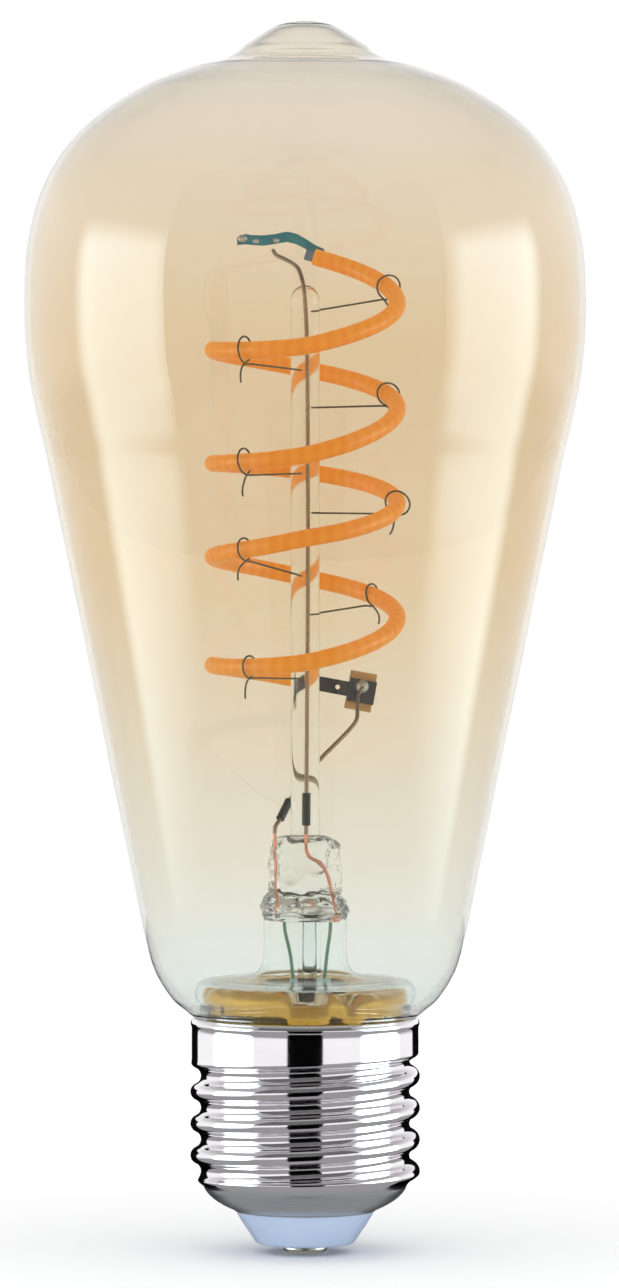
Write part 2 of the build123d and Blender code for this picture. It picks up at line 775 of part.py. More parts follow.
# ---- Insulating film round the driver, tucked up inside the flare's bell ----
insulation_top = bell_edge_height - flare_wall - insulation_gap
insulation_bore = insulation_radius - insulation_wall
film_underside = insulation_top - insulation_wall
with BuildPart() as driver_insulation:
    with BuildSketch(Plane.XZ):
        with BuildLine():
            FilletPolyline(
                (insulation_radius, insulation_bottom),
                (insulation_radius, insulation_top),
                (insulation_mouth_radius, insulation_top),
                radius=[insulation_corner],
            )
            Line((insulation_mouth_radius, insulation_top), (insulation_mouth_radius, film_underside))
            FilletPolyline(
                (insulation_mouth_radius, film_underside),
                (insulation_bore, film_underside),
                (insulation_bore, insulation_bottom),
                radius=[insulation_corner - insulation_wall],
            )
            Line((insulation_bore, insulation_bottom), (insulation_radius, insulation_bottom))
        make_face()
    revolve(axis=Axis.Z)
driver_insulation.part.label = "driver_insulation"
export_step(driver_insulation.part, "parts/driver_insulation.step")

# ---- Cement: fills the space between the glass neck, the shell and the film ----
with BuildPart() as base_cement:
    with BuildSketch(Plane.XZ):
        with BuildLine():
            Polyline(
                (insulation_radius, cement_bottom),
                (thread_root_radius, cement_bottom),
                (thread_root_radius, skirt_bottom - skirt_step),
                (skirt_bore, skirt_bottom + shell_wall / 2),
                (skirt_bore, rim_height - cement_recess),
                (neck_radius, rim_height - cement_recess),
                (neck_radius, neck_bottom),
                (insulation_radius, neck_bottom),
                close=True,
            )
        make_face()
    revolve(axis=Axis.Z)
    add(shell, mode=Mode.SUBTRACT)
base_cement.part.label = "base_cement"
export_step(base_cement.part, "parts/base_cement.step")


# ---- Parts on the board: each block stands on the face that its sign names ----
def board_block(name, size, x, z, side, corner_round=0.0):
    """A block of x, y and z size on the board's back (side 1) or front (side -1)."""
    face = board_back if side > 0 else board_front
    with BuildPart() as block:
        with BuildSketch(Plane.XZ.offset(-face)):
            with Locations((x, z)):
                if corner_round:
                    RectangleRounded(size[0], size[2], corner_round)
                else:
                    Rectangle(size[0], size[2])
        extrude(amount=-side * size[1])
    block.part.label = name
    export_step(block.part, f"parts/{name}.step")


board_block("bridge_rectifier", rectifier_size, rectifier_x, rectifier_z, 1)
board_block("driver_chip", driver_chip_size, driver_chip_x, driver_chip_z, 1)
board_block(
    "film_capacitor", film_capacitor_size, film_capacitor_x, film_capacitor_z, -1, film_capacitor_round
)

with BuildPart() as filter_capacitor:
    with BuildSketch(Plane.XY.offset(board_bottom + capacitor_lift)):
        with Locations((capacitor_x, board_back + capacitor_radius)):
            Circle(capacitor_radius)
    extrude(amount=capacitor_length)
    fillet(filter_capacitor.edges().group_by(Axis.Z)[-1], radius=capacitor_edge)
filter_capacitor.part.label = "filter_capacitor"
export_step(filter_capacitor.part, "parts/filter_capacitor.step")

with BuildPart() as choke_core:
    with BuildSketch(Plane.XZ.offset(-board_back)):
        with Locations((choke_x, choke_z)):
            Circle(choke_radius)
    extrude(amount=-choke_flange)
    with BuildSketch(Plane.XZ.offset(-board_back - choke_flange)):
        with Locations((choke_x, choke_z)):
            Circle(choke_core_radius)
    extrude(amount=-choke_length)
    with BuildSketch(Plane.XZ.offset(-board_back - choke_flange - choke_length)):
        with Locations((choke_x, choke_z)):
            Circle(choke_radius)
    extrude(amount=-choke_flange)
choke_core.part.label = "choke_core"
export_step(choke_core.part, "parts/choke_core.step")

with BuildPart() as choke_winding:
    with BuildSketch(Plane.XZ.offset(-board_back - choke_flange)):
        with Locations((choke_x, choke_z)):
            Circle(choke_radius - choke_winding_gap)
            Circle(choke_core_radius, mode=Mode.SUBTRACT)
    extrude(amount=-choke_length)
choke_winding.part.label = "choke_winding"
export_step(choke_winding.part, "parts/choke_winding.step")

with BuildPart() as fuse_resistor:
    with BuildSketch(Plane.XY.offset(fuse_bottom)):
        with Locations((fuse_x, board_front - fuse_radius - fuse_cap)):
            Circle(fuse_radius)
    extrude(amount=fuse_length)
    for cap_height in (fuse_bottom, fuse_bottom + fuse_length - fuse_cap_length):
        with BuildSketch(Plane.XY.offset(cap_height)):
            with Locations((fuse_x, board_front - fuse_radius - fuse_cap)):
                Circle(fuse_radius + fuse_cap)
        extrude(amount=fuse_cap_length)
fuse_resistor.part.label = "fuse_resistor"
export_step(fuse_resistor.part, "parts/fuse_resistor.step")

with BuildPart() as surface_parts:
    with BuildSketch(Plane.XZ.offset(-board_back)):
        with Locations(*surface_part_places):
            Rectangle(surface_part_size[0], surface_part_size[2])
    extrude(amount=-surface_part_size[1])
surface_parts.part.label = "surface_parts"
export_step(surface_parts.part, "parts/surface_parts.step")

# ---- Wireless module, upright in front of the driver board ----
with BuildPart() as wireless_board:
    with BuildSketch(Plane.XZ.offset(-wireless_back)):
        with Locations((0, (wireless_top + wireless_bottom) / 2)):
            Rectangle(2 * wireless_half_width, wireless_top - wireless_bottom)
    extrude(amount=wireless_thickness)
wireless_board.part.label = "wireless_board"
export_step(wireless_board.part, "parts/wireless_board.step")

shield_z = wireless_bottom + shield_margin + shield_size[2] / 2
with BuildPart() as wireless_shield:
    with BuildSketch(Plane.XZ.offset(-wireless_front)):
        with Locations((0, shield_z)):
            Rectangle(shield_size[0], shield_size[2])
    extrude(amount=shield_size[1])
    with BuildSketch(Plane.XZ.offset(-wireless_front)):
        with Locations((0, shield_z)):
            Rectangle(shield_size[0] - 2 * shield_wall, shield_size[2] - 2 * shield_wall)
    extrude(amount=shield_size[1] - shield_wall, mode=Mode.SUBTRACT)
wireless_shield.part.label = "wireless_shield"
export_step(wireless_shield.part, "parts/wireless_shield.step")

antenna_base = wireless_bottom + shield_margin + shield_size[2] + shield_margin
antenna_step = 2 * antenna_trace
with BuildPart() as wireless_antenna:
    with BuildSketch(Plane.XZ.offset(-wireless_front)):
        for row in range(antenna_rows):
            with Locations((0, antenna_base + row * antenna_step)):
                Rectangle(antenna_length, antenna_trace)
        for row in range(antenna_rows - 1):
            turn_side = 1 if row % 2 else -1
            turn_x = turn_side * (antenna_length - antenna_trace) / 2
            with Locations((turn_x, antenna_base + (row + 0.5) * antenna_step)):
                Rectangle(antenna_trace, antenna_step + antenna_trace)
    extrude(amount=antenna_thickness)
wireless_antenna.part.label = "wireless_antenna"
export_step(wireless_antenna.part, "parts/wireless_antenna.step")

with BuildPart() as wireless_pins:
    with BuildSketch(Plane.XZ.offset(-board_front)):
        with Locations((0, pin_height)):
            with GridLocations(pin_spacing, pin_spacing, pin_count, 1):
                Rectangle(pin_size, pin_size)
    extrude(amount=board_front - wireless_back)
wireless_pins.part.label = "wireless_pins"
export_step(wireless_pins.part, "parts/wireless_pins.step")

# ---- Supply wires: one to the end contact, one to the shell ----
live_wire = round_wire(
    [
        (5.4, board_front, 12.0),
        (5.4, 1.3, 12.0),
        (3.6, 0.4, 8.4),
        (0.0, 0.0, 6.6),
        (0.0, 0.0, contact_top),
    ],
    supply_wire_radius,
)
live_wire.part.label = "live_wire"
export_step(live_wire.part, "parts/live_wire.step")

neutral_wire = round_wire(
    [
        (-6.0, board_front, 12.0),
        (-6.0, 1.3, 12.0),
        (-8.0, 0.3, 9.5),
        (-9.6, 0.0, 9.3),
        (-root_bore + supply_wire_touch, 0.0, 9.3),
    ],
    supply_wire_radius,
)
neutral_wire.part.label = "neutral_wire"
export_step(neutral_wire.part, "parts/neutral_wire.step")
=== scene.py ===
# %% [markdown]
# # A filament bulb with an amber glass
# The measured parts come first, as a fixed frame. Everything made below sits on
# that frame, so no piece has to be fitted by eye.

# %% Load the measured parts
import json
import math

import bmesh
import bpy
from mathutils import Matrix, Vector, noise


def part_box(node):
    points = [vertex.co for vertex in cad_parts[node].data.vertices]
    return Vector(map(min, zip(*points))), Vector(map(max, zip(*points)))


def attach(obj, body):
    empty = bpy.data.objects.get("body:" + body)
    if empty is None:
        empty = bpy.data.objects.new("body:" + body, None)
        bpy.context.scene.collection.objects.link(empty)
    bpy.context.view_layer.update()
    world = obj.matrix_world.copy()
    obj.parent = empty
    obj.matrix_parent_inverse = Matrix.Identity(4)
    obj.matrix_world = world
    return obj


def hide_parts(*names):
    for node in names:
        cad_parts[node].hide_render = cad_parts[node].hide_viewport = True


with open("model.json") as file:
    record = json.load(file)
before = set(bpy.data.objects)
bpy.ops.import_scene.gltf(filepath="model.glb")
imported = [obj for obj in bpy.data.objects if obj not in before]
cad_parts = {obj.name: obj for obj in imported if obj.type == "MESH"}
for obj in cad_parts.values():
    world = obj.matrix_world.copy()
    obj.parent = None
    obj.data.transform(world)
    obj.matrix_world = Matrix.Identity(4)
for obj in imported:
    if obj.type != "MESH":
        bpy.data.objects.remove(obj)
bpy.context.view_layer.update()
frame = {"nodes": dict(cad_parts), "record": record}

print("measured parts:", len(frame["nodes"]))

# %% [markdown]
# Small objects are easier to think about in millimetres. Shapes are drawn in
# millimetres and scaled once, when the mesh is handed to its object.

# %% Millimetres, and where the measured parts are
MM = 0.001


def reach(node):
    """Lowest and highest corner of a measured part, in millimetres."""
    low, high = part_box(node)
    return Vector(low) / MM, Vector(high) / MM


glass_high = reach("glass_envelope")[1]
shell_high = reach("cap_shell")[1]
bulb_top = glass_high.z
bulb_radius = glass_high.x
rim_height = shell_high.z
crest_radius = shell_high.x
print("bulb is", round(bulb_top, 2), "mm tall and", round(2 * bulb_radius, 2), "mm wide")

# %% [markdown]
# The camera stands in front, level with the middle of the bulb, with a long
# lens. A long lens keeps the two sides of the glass nearly parallel, as in a
# catalogue picture. It looks very slightly down. The plain Standard view keeps
# white paper white and orange as deep as it is painted.

# %% Camera
LENS = 171.5
SENSOR_HEIGHT = 36
NEAREST_SEEN = 0.05
CAMERA_PLACE = (0.5, -700, 80.8)
CAMERA_TARGET = (0.5, 0, 69.5)
camera_data = bpy.data.cameras.new("studio_camera")
camera_data.sensor_fit = "VERTICAL"
camera_data.sensor_height = SENSOR_HEIGHT
camera_data.lens = LENS
camera_data.clip_start = NEAREST_SEEN
camera = bpy.data.objects.new("studio_camera", camera_data)
bpy.context.scene.collection.objects.link(camera)
camera_place = Vector(CAMERA_PLACE) * MM
camera_target = Vector(CAMERA_TARGET) * MM
camera.location = camera_place
camera.rotation_euler = (camera_target - camera_place).to_track_quat("-Z", "Y").to_euler()
bpy.context.scene.camera = camera
bpy.context.scene.view_settings.view_transform = "Standard"
print("camera distance", round(camera_place.length, 3), "m")

# %% [markdown]
# ## Writing shader maths as sentences
# A node tree is easier to read as an expression. This class wraps the output of
# a node, and adding or multiplying two of them adds the Math node that does it.
# The reflected forms let a plain number stand on the left, as in 1 - mask.

# %% A socket that can be used in sums


class Signal:
    """The output of a node, for use in expressions."""

    def __init__(self, finish, socket):
        self.finish = finish
        self.socket = socket

    def maths(self, operation, first, second=0.0):
        settings = {"operation": operation}
        return self.finish.node("ShaderNodeMath", settings, {0: first, 1: second})

    def __add__(self, other):
        return self.maths("ADD", self, other)

    def __sub__(self, other):
        return self.maths("SUBTRACT", self, other)

    def __rsub__(self, other):
        return self.maths("SUBTRACT", other, self)

    def __mul__(self, other):
        return self.maths("MULTIPLY", self, other)

    def __pow__(self, other):
        return self.maths("POWER", self, other)

    def sine(self):
        return self.maths("SINE", self)

    __radd__ = __add__
    __rmul__ = __mul__


# %% [markdown]
# A finish is one material. Its `node` method adds any node: settings go in
# first, then the values and links of its sockets. The rest are short names for
# the few nodes that nearly every finish needs.

# %% A material with short words for its nodes


def tint(red, green, blue):
    """A screen colour, 0 to 255, as the linear colour that a shader works in."""
    linear = []
    for part in (red / 255, green / 255, blue / 255):
        linear.append(part / 12.92 if part <= 0.04045 else ((part + 0.055) / 1.055) ** 2.4)
    return (*linear, 1.0)


class Nodes:
    """A node tree with one method that adds any node."""

    def __init__(self, tree):
        self.tree = tree

    def plug(self, socket, value):
        if isinstance(value, Signal):
            self.tree.links.new(value.socket, socket)
        else:
            socket.default_value = value

    def node(self, kind, settings=None, values=None, output=0):
        made = self.tree.nodes.new(kind)
        for key, value in (settings or {}).items():
            if key == "stops":
                self.set_stops(made.color_ramp, value)
            else:
                setattr(made, key, value)
        for key, value in (values or {}).items():
            self.plug(made.inputs[key], value)
        return Signal(self, made.outputs[output])

    def set_stops(self, ramp, stops):
        while len(ramp.elements) < len(stops):
            ramp.elements.new(1.0)
        for element, (position, level) in zip(ramp.elements, stops):
            element.position = position
            element.color = (level, level, level, 1)

    def rescale(self, value, low, high, to_low=0.0, to_high=1.0):
        """value from one range to another, held at the ends."""
        values = {0: value, 1: low, 2: high, 3: to_low, 4: to_high}
        return self.node("ShaderNodeMapRange", {"clamp": True}, values)


class Finish(Nodes):
    """A material whose pattern is drawn in millimetres on the piece itself."""

    def __init__(self, name, **sockets):
        self.material = bpy.data.materials.new(name)
        self.material.use_nodes = True
        super().__init__(self.material.node_tree)
        self.shader = self.tree.nodes["Principled BSDF"]
        for socket, value in sockets.items():
            self.shader.inputs[socket.replace("_", " ")].default_value = value
        metres = self.node("ShaderNodeTexCoord", output="Object")
        settings = {"operation": "SCALE"}
        self.place = self.node("ShaderNodeVectorMath", settings, {0: metres, 3: 1 / MM})

    def axis(self, letter):
        """One coordinate, in millimetres."""
        return self.node("ShaderNodeSeparateXYZ", None, {0: self.place}, "XYZ".index(letter))

    def turn(self):
        """The angle round the bulb's axis, in radians."""
        across = self.axis("Y")
        return across.maths("ARCTAN2", across, self.axis("X"))

    def grain(self, size, detail=3.0, rough=0.5, stretch=(1, 1, 1)):
        """Cloudy noise with features about size millimetres across."""
        settings = {"operation": "MULTIPLY"}
        place = self.node("ShaderNodeVectorMath", settings, {0: self.place, 1: stretch})
        values = {"Vector": place, "Scale": 1 / size, "Detail": detail, "Roughness": rough}
        return self.node("ShaderNodeTexNoise", None, values)

    def spots(self, size):
        """Distance from scattered points, size millimetres apart."""
        values = {"Vector": self.place, "Scale": 1 / size}
        return self.node("ShaderNodeTexVoronoi", None, values)

    def blend(self, amount, first, second):
        """A colour between two colours."""
        settings = {"data_type": "RGBA", "clamp_factor": True}
        return self.node("ShaderNodeMix", settings, {0: amount, 6: first, 7: second}, 2)

    def bump(self, height, depth, strength=1.0):
        """A normal from a height of 0 to 1, depth millimetres deep."""
        values = {"Strength": strength, "Distance": depth * MM, "Height": height}
        self.plug(self.shader.inputs["Normal"], self.node("ShaderNodeBump", None, values))

    def colour(self, value):
        self.plug(self.shader.inputs["Base Color"], value)

    def roughness(self, value):
        self.plug(self.shader.inputs["Roughness"], value)


finishes = {}
print("shader words ready")

# %% [markdown]
# ## Glass
# The bulb's glass has a thin amber coat that fades away towards the neck. Light
# crosses it four times on its way through, so the colour on the shader is the
# fourth root of the fade that is seen. The colour changes only with height, with
# a slow cloudiness, because a sprayed coat is never quite even.

# %% Amber and clear glass


GLASS_BEND = 1.47
THIN_GLASS_BEND = 1.1


def glass(name, **sockets):
    return Finish(name, Transmission_Weight=1.0, IOR=GLASS_BEND, **sockets)


FADE_HEIGHTS = (31, 80)
CROWN_HEIGHTS = (104, 138)
FADE_CLOUD = 8


def amber_glass():
    finish = glass("amber_glass", Roughness=0.0)
    height = finish.axis("Z")
    cloud = finish.grain(26, 2.0)
    fade = finish.rescale(height + (cloud - 0.5) * FADE_CLOUD, *FADE_HEIGHTS) ** 0.8
    crown = finish.rescale(height, *CROWN_HEIGHTS)
    deep = finish.blend(cloud, (0.825, 0.705, 0.53, 1), (0.865, 0.77, 0.62, 1))
    pale = (0.90, 0.865, 0.80, 1)
    clear = (0.868, 0.902, 0.878, 1)
    finish.colour(finish.blend(fade, clear, finish.blend(crown, deep, pale)))
    finish.bump(finish.grain(11, 1.0), 0.02, 0.5)
    return finish


def clear_glass(name, bend):
    """Drawn tube and rod: hardly tinted, a little cloudy where a flame worked it."""
    finish = glass(name)
    finish.shader.inputs["IOR"].default_value = bend
    cloud = finish.grain(4)
    finish.colour(finish.blend(cloud, (0.955, 0.985, 0.98, 1), (0.99, 1.0, 0.995, 1)))
    finish.roughness(cloud * 0.06 + 0.07)
    finish.bump(finish.grain(2.5, 2.0), 0.02, 0.6)
    return finish


finishes["amber_glass"] = amber_glass()
finishes["clear_glass"] = clear_glass("clear_glass", GLASS_BEND)
finishes["thin_glass"] = clear_glass("thin_glass", THIN_GLASS_BEND)
print("glass finishes:", len(finishes))

# %% [markdown]
# ## Metals
# Bare metal is never one colour: it has a fine grain, cloudy stains and small
# scratches. One function makes them all from a bright and a dull colour, a
# roughness, and the size and direction of the grain.

# %% Metals


def metal(name, bright, dull, rough, grain=0.4, stretch=(1, 1, 1), depth=0.01):
    finish = Finish(name, Metallic=1.0)
    fine = finish.grain(grain, 4.0, 0.6, stretch)
    cloud = finish.grain(grain * 9, 2.0)
    finish.colour(finish.blend(cloud * 0.7 + fine * 0.3, bright, dull))
    finish.roughness(fine * rough * 0.5 + cloud * rough * 0.5 + rough * 0.5)
    finish.bump(fine, depth)
    return finish


BRUSHED_HEIGHTS = (7.2, 8.4)


def bright_nickel():
    """Rolled and plated brass: mirror bright, brushed and duller at the foot."""
    finish = Finish("bright_nickel", Metallic=1.0)
    height = finish.axis("Z")
    rings = finish.grain(0.5, 3.0, 0.6, (0.1, 0.1, 3.0))
    cloud = finish.grain(5, 2.0)
    foot = 1 - finish.rescale(height, *BRUSHED_HEIGHTS)
    plated = finish.blend(cloud, tint(246, 243, 246), tint(234, 231, 236))
    brushed = finish.blend(rings, tint(224, 226, 232), tint(196, 200, 208))
    finish.colour(finish.blend(foot, plated, brushed))
    finish.roughness(foot * (rings * 0.12 + 0.2) + cloud * 0.05 + 0.045)
    finish.bump(rings, 0.004, 0.6)
    return finish


finishes["bright_nickel"] = bright_nickel()
metals = {
    "contact_nickel": (tint(222, 220, 214), tint(186, 182, 172), 0.3),
    "solder": (tint(214, 217, 222), tint(158, 162, 168), 0.3),
    "lead_wire": (tint(176, 158, 138), tint(122, 104, 90), 0.3),
    "hook_wire": (tint(112, 112, 96), tint(66, 66, 54), 0.42),
    "copper_wire": (tint(244, 178, 152), tint(214, 130, 104), 0.34),
    "tinned_wire": (tint(126, 150, 128), tint(88, 112, 92), 0.36),
    "shield_steel": (tint(206, 208, 210), tint(170, 172, 176), 0.28),
    "gold_trace": (tint(236, 200, 120), tint(206, 164, 84), 0.25),
    "capacitor_can": (tint(200, 203, 208), tint(150, 154, 160), 0.35),
    "enamel_copper": (tint(204, 118, 66), tint(158, 78, 38), 0.25),
}
for name, (bright, dull, rough) in metals.items():
    finishes[name] = metal(name, bright, dull, rough)
print("finishes so far:", len(finishes))

# %% [markdown]
# ## Plastics, films and ceramics
# These are paints and mouldings: a base colour that drifts a little, a soft
# gloss that drifts with it, and a fine surface. Films also have creases, which
# are long and thin, so their grain is stretched.

# %% Plastics and films


def moulded(name, light, dark, rough, grain=0.5, depth=0.02, stretch=(1, 1, 1), **sockets):
    finish = Finish(name, **sockets)
    fine = finish.grain(grain, 4.0, 0.6, stretch)
    cloud = finish.grain(grain * 7, 2.0)
    finish.colour(finish.blend(cloud * 0.6 + fine * 0.4, light, dark))
    finish.roughness(fine * 0.16 + (rough - 0.08))
    finish.bump(fine, depth)
    return finish


films = {
    "teal_film": (tint(70, 168, 176), tint(14, 96, 150), 0.3),
    "black_film": (tint(22, 24, 40), tint(12, 12, 18), 0.3),
    "tan_film": (tint(224, 176, 104), tint(190, 140, 78), 0.4),
    "black_sleeve": (tint(20, 24, 24), tint(8, 10, 12), 0.45),
    "pale_sleeve": (tint(214, 232, 228), tint(180, 206, 204), 0.4),
    "cement": (tint(214, 206, 188), tint(170, 158, 136), 0.85),
    "black_epoxy": (tint(38, 38, 42), tint(18, 18, 21), 0.4),
    "green_epoxy": (tint(46, 92, 58), tint(22, 54, 34), 0.25),
    "ferrite": (tint(62, 60, 62), tint(34, 32, 34), 0.6),
    "resistor_body": (tint(92, 132, 168), tint(58, 92, 128), 0.35),
    "chip_part": (tint(196, 176, 140), tint(120, 98, 70), 0.4),
    "red_wire": (tint(190, 44, 36), tint(140, 24, 22), 0.4),
    "white_wire": (tint(232, 230, 222), tint(196, 192, 180), 0.4),
    "led_chip": (tint(248, 222, 120), tint(228, 190, 84), 0.3),
}
for name, (light, dark, rough) in films.items():
    finishes[name] = moulded(name, light, dark, rough)

# %% [markdown]
# A circuit board is green or blue lacquer over copper tracks. The tracks show as
# slightly lighter, slightly raised lines. A brick pattern with its joints as the
# tracks gives straight runs with square turns, which is how a board is drawn.

# %% Circuit boards


PAD_GAP = 1.9
PAD_EDGE = (0.16, 0.2)


def board(name, lacquer, track, metal_colour):
    finish = Finish(name, Coat_Weight=0.4)
    settings = {"offset": 0.35, "squash": 1.6, "squash_frequency": 3}
    swap = finish.node("ShaderNodeCombineXYZ", None, {0: finish.axis("X"), 1: finish.axis("Z")})
    values = {"Vector": swap, "Scale": 0.5, "Mortar Size": 0.07, "Mortar Smooth": 0.2}
    runs = finish.node("ShaderNodeTexBrick", settings, values, 1)
    pads = 1 - finish.rescale(finish.spots(PAD_GAP), *PAD_EDGE)
    fine = finish.grain(0.3)
    tracks = finish.blend(runs, track, lacquer)
    finish.colour(finish.blend(pads, finish.blend(fine * 0.3, tracks, lacquer), metal_colour))
    finish.roughness(fine * 0.15 + 0.28)
    finish.bump(runs * -1 + pads, 0.03)
    return finish


boards = {
    "board_green": (tint(24, 84, 50), tint(52, 122, 76), tint(214, 210, 200)),
    "board_blue": (tint(24, 58, 120), tint(56, 96, 160), tint(226, 196, 120)),
}
for name, colours in boards.items():
    finishes[name] = board(name, *colours)
print("finishes so far:", len(finishes))

# %% [markdown]
# ## Silicone with phosphor
# The light strip is coated with silicone that is full of yellow phosphor powder.
# It is deep orange where it is thick and yellower at its edges, and the rows of
# tiny chips inside show as faint beads. The beads follow the angle round the
# coil, which is the arctangent of x and y.

# %% Filament, bulb base and film finishes
# A faint painted glow: an orange emission on a strip that is not lit.
PAINTED_GLOW = 0.17
BEADS_PER_RADIAN = 44


def phosphor_silicone():
    """Rubber full of phosphor with a bead over each chip, and a faint painted glow."""
    finish = Finish("phosphor_silicone", IOR=1.41, Coat_Weight=0.12, Coat_Roughness=0.3)
    finish.shader.inputs["Subsurface Weight"].default_value = 0.15
    finish.shader.inputs["Subsurface Radius"].default_value = (1.0, 0.4, 0.1)
    finish.shader.inputs["Subsurface Scale"].default_value = 0.6 * MM
    finish.shader.inputs["Specular IOR Level"].default_value = 0.3
    # The emission is a painted glow, so the unlit strip shines a little orange.
    finish.shader.inputs["Emission Color"].default_value = (1.0, 0.3, 0.0, 1)
    finish.shader.inputs["Emission Strength"].default_value = PAINTED_GLOW
    angle = finish.turn()
    beads = (angle * BEADS_PER_RADIAN).sine() * 0.5 + 0.5
    cloud = finish.grain(3.0)
    powder = finish.grain(0.12, 2.0)
    deep = finish.blend(cloud, (0.92, 0.27, 0.012, 1), (0.97, 0.34, 0.02, 1))
    lit = (1.0, 0.54, 0.08, 1)
    finish.colour(finish.blend(beads * 0.3 + powder * 0.3, deep, lit))
    finish.roughness(powder * 0.1 + 0.36)
    finish.bump(beads * 0.25 + cloud + powder * 0.1, 0.06)
    return finish


finishes["phosphor_silicone"] = phosphor_silicone()


def pale_insulator():
    """Glazed ceramic-like plastic, pale blue, with faint turning marks."""
    finish = Finish("pale_insulator", Coat_Weight=0.3, Coat_Roughness=0.25)
    rings = finish.grain(0.6, 3.0, 0.5, (0.15, 0.15, 4.0))
    cloud = finish.grain(4.0)
    finish.colour(finish.blend(cloud, tint(204, 221, 246), tint(188, 208, 238)))
    finish.roughness(rings * 0.15 + 0.32)
    finish.bump(rings, 0.01)
    return finish


def amber_film():
    """Glossy golden film, creased where it was folded in."""
    finish = Finish("amber_film", Metallic=0.85, Coat_Weight=0.4, Coat_Roughness=0.05)
    crease = finish.grain(2.6, 3.0, 0.55, (1, 1, 0.35))
    cloud = finish.grain(6.0)
    finish.colour(finish.blend(cloud, tint(234, 186, 76), tint(202, 144, 46)))
    finish.roughness(crease * 0.12 + 0.1)
    finish.bump(crease, 0.5)
    return finish


def strip_film():
    """Printed film at the end of the strip: sea green, bluer where the coat begins."""
    finish = Finish("strip_film", Metallic=0.6)
    cloud = finish.grain(1.6)
    along = finish.rescale(finish.axis("X") + (cloud - 0.5) * 1.5, -5.5, -2.0)
    green = finish.blend(cloud, tint(126, 158, 146), tint(96, 128, 120))
    blue = finish.blend(cloud, tint(120, 146, 176), tint(92, 116, 146))
    finish.colour(finish.blend(along, green, blue))
    finish.roughness(cloud * 0.2 + 0.25)
    finish.bump(cloud, 0.02)
    return finish


finishes["strip_film"] = strip_film()
finishes["pale_insulator"] = pale_insulator()
finishes["amber_film"] = amber_film()
print("finishes made:", len(finishes))

# %% [markdown]
# Every measured part takes its finish from the material slot that its record
# names. Parts that are remade below are hidden later, so it does no harm to
# paint them too.

# %% Paint the measured parts
slot_of = {row["node"]: row["material_slot"] for row in frame["record"]["subparts"]}
for node, part in frame["nodes"].items():
    part.data.materials.clear()
    part.data.materials.append(finishes[slot_of[node]].material)
print("painted parts:", len(slot_of))

# %% [markdown]
# ## From a drawing to a piece
# A mesh is drawn in millimetres and scaled here. The piece rides with the bulb,
# hides the measured parts it stands for, and takes over their material slot.
# Glass casts no shadow, because soft lamps would otherwise need very many
# samples to find the pieces behind it.

# %% Finishing a piece


def make_piece(shape, name, nodes, finish=None):
    """Turns a drawn shape into a piece that stands for the named parts."""
    bmesh.ops.scale(shape, vec=(MM, MM, MM), verts=shape.verts)
    mesh = bpy.data.meshes.new(name)
    shape.to_mesh(mesh)
    shape.free()
    return mount_piece(mesh, name, nodes, finish)


def mount_piece(mesh, name, nodes, finish=None):
    for face in mesh.polygons:
        face.use_smooth = True
    piece = bpy.data.objects.new(name, mesh)
    bpy.context.scene.collection.objects.link(piece)
    slot = slot_of[nodes[0]]
    mesh.materials.clear()
    mesh.materials.append(finishes[finish or slot].material)
    piece.visible_shadow = "glass" not in slot
    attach(piece, "root")
    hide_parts(*nodes)
    print(name, len(mesh.polygons), "faces")
    return piece


def add_modifier(piece, kind, **settings):
    modifier = piece.modifiers.new(kind.title(), kind)
    for key, value in settings.items():
        setattr(modifier, key, value)
    return modifier


# %% [markdown]
# Glass and turned metal are made by drawing half of the outline and spinning it
# round the axis. The outline is given as a few points. This line passes smoothly
# through them, and takes its slope at each point from the neighbours.

# %% A smooth line and a spin


def flow(points, parts):
    """A smooth line through the points, with parts steps between each two."""
    spots = [Vector(point) for point in points]
    gaps = [(b - a).length for a, b in zip(spots, spots[1:])]
    slopes = []
    for place, spot in enumerate(spots):
        before = spots[max(place - 1, 0)]
        after = spots[min(place + 1, len(spots) - 1)]
        span = sum(gaps[max(place - 1, 0):place + 1])
        slopes.append((after - before) / span)
    line = []
    for place, gap in enumerate(gaps):
        start, end = spots[place], spots[place + 1]
        for step in range(parts):
            t = step / parts
            line.append(
                start * (2 * t**3 - 3 * t**2 + 1)
                + slopes[place] * gap * (t**3 - 2 * t**2 + t)
                + end * (3 * t**2 - 2 * t**3)
                + slopes[place + 1] * gap * (t**3 - t**2)
            )
    return line + [spots[-1]]


def spun(outline, steps, closed=False):
    """A shape turned from an outline of (radius, height) points."""
    shape = bmesh.new()
    corners = [shape.verts.new((point[0], 0, point[1])) for point in outline]
    edges = [shape.edges.new(pair) for pair in zip(corners, corners[1:])]
    if closed:
        edges.append(shape.edges.new((corners[-1], corners[0])))
    bmesh.ops.spin(
        shape, geom=corners + edges, cent=(0, 0, 0), axis=(0, 0, 1),
        angle=math.tau, steps=steps, use_merge=True,
    )
    bmesh.ops.remove_doubles(shape, verts=shape.verts, dist=0.0005)
    bmesh.ops.recalc_face_normals(shape, faces=shape.faces)
    return shape


print("a circle as a smooth line:", len(flow([(0, 1), (1, 0), (0, -1)], 4)), "points")

# %% [markdown]
# ## The bulb
# The bulb is blown: a pear shape with a straight taper, and at the crown the
# nipple where the glass was sealed off, with two faint rings round it. Only the
# outside is drawn. Solidify gives it an even wall, as blowing does.

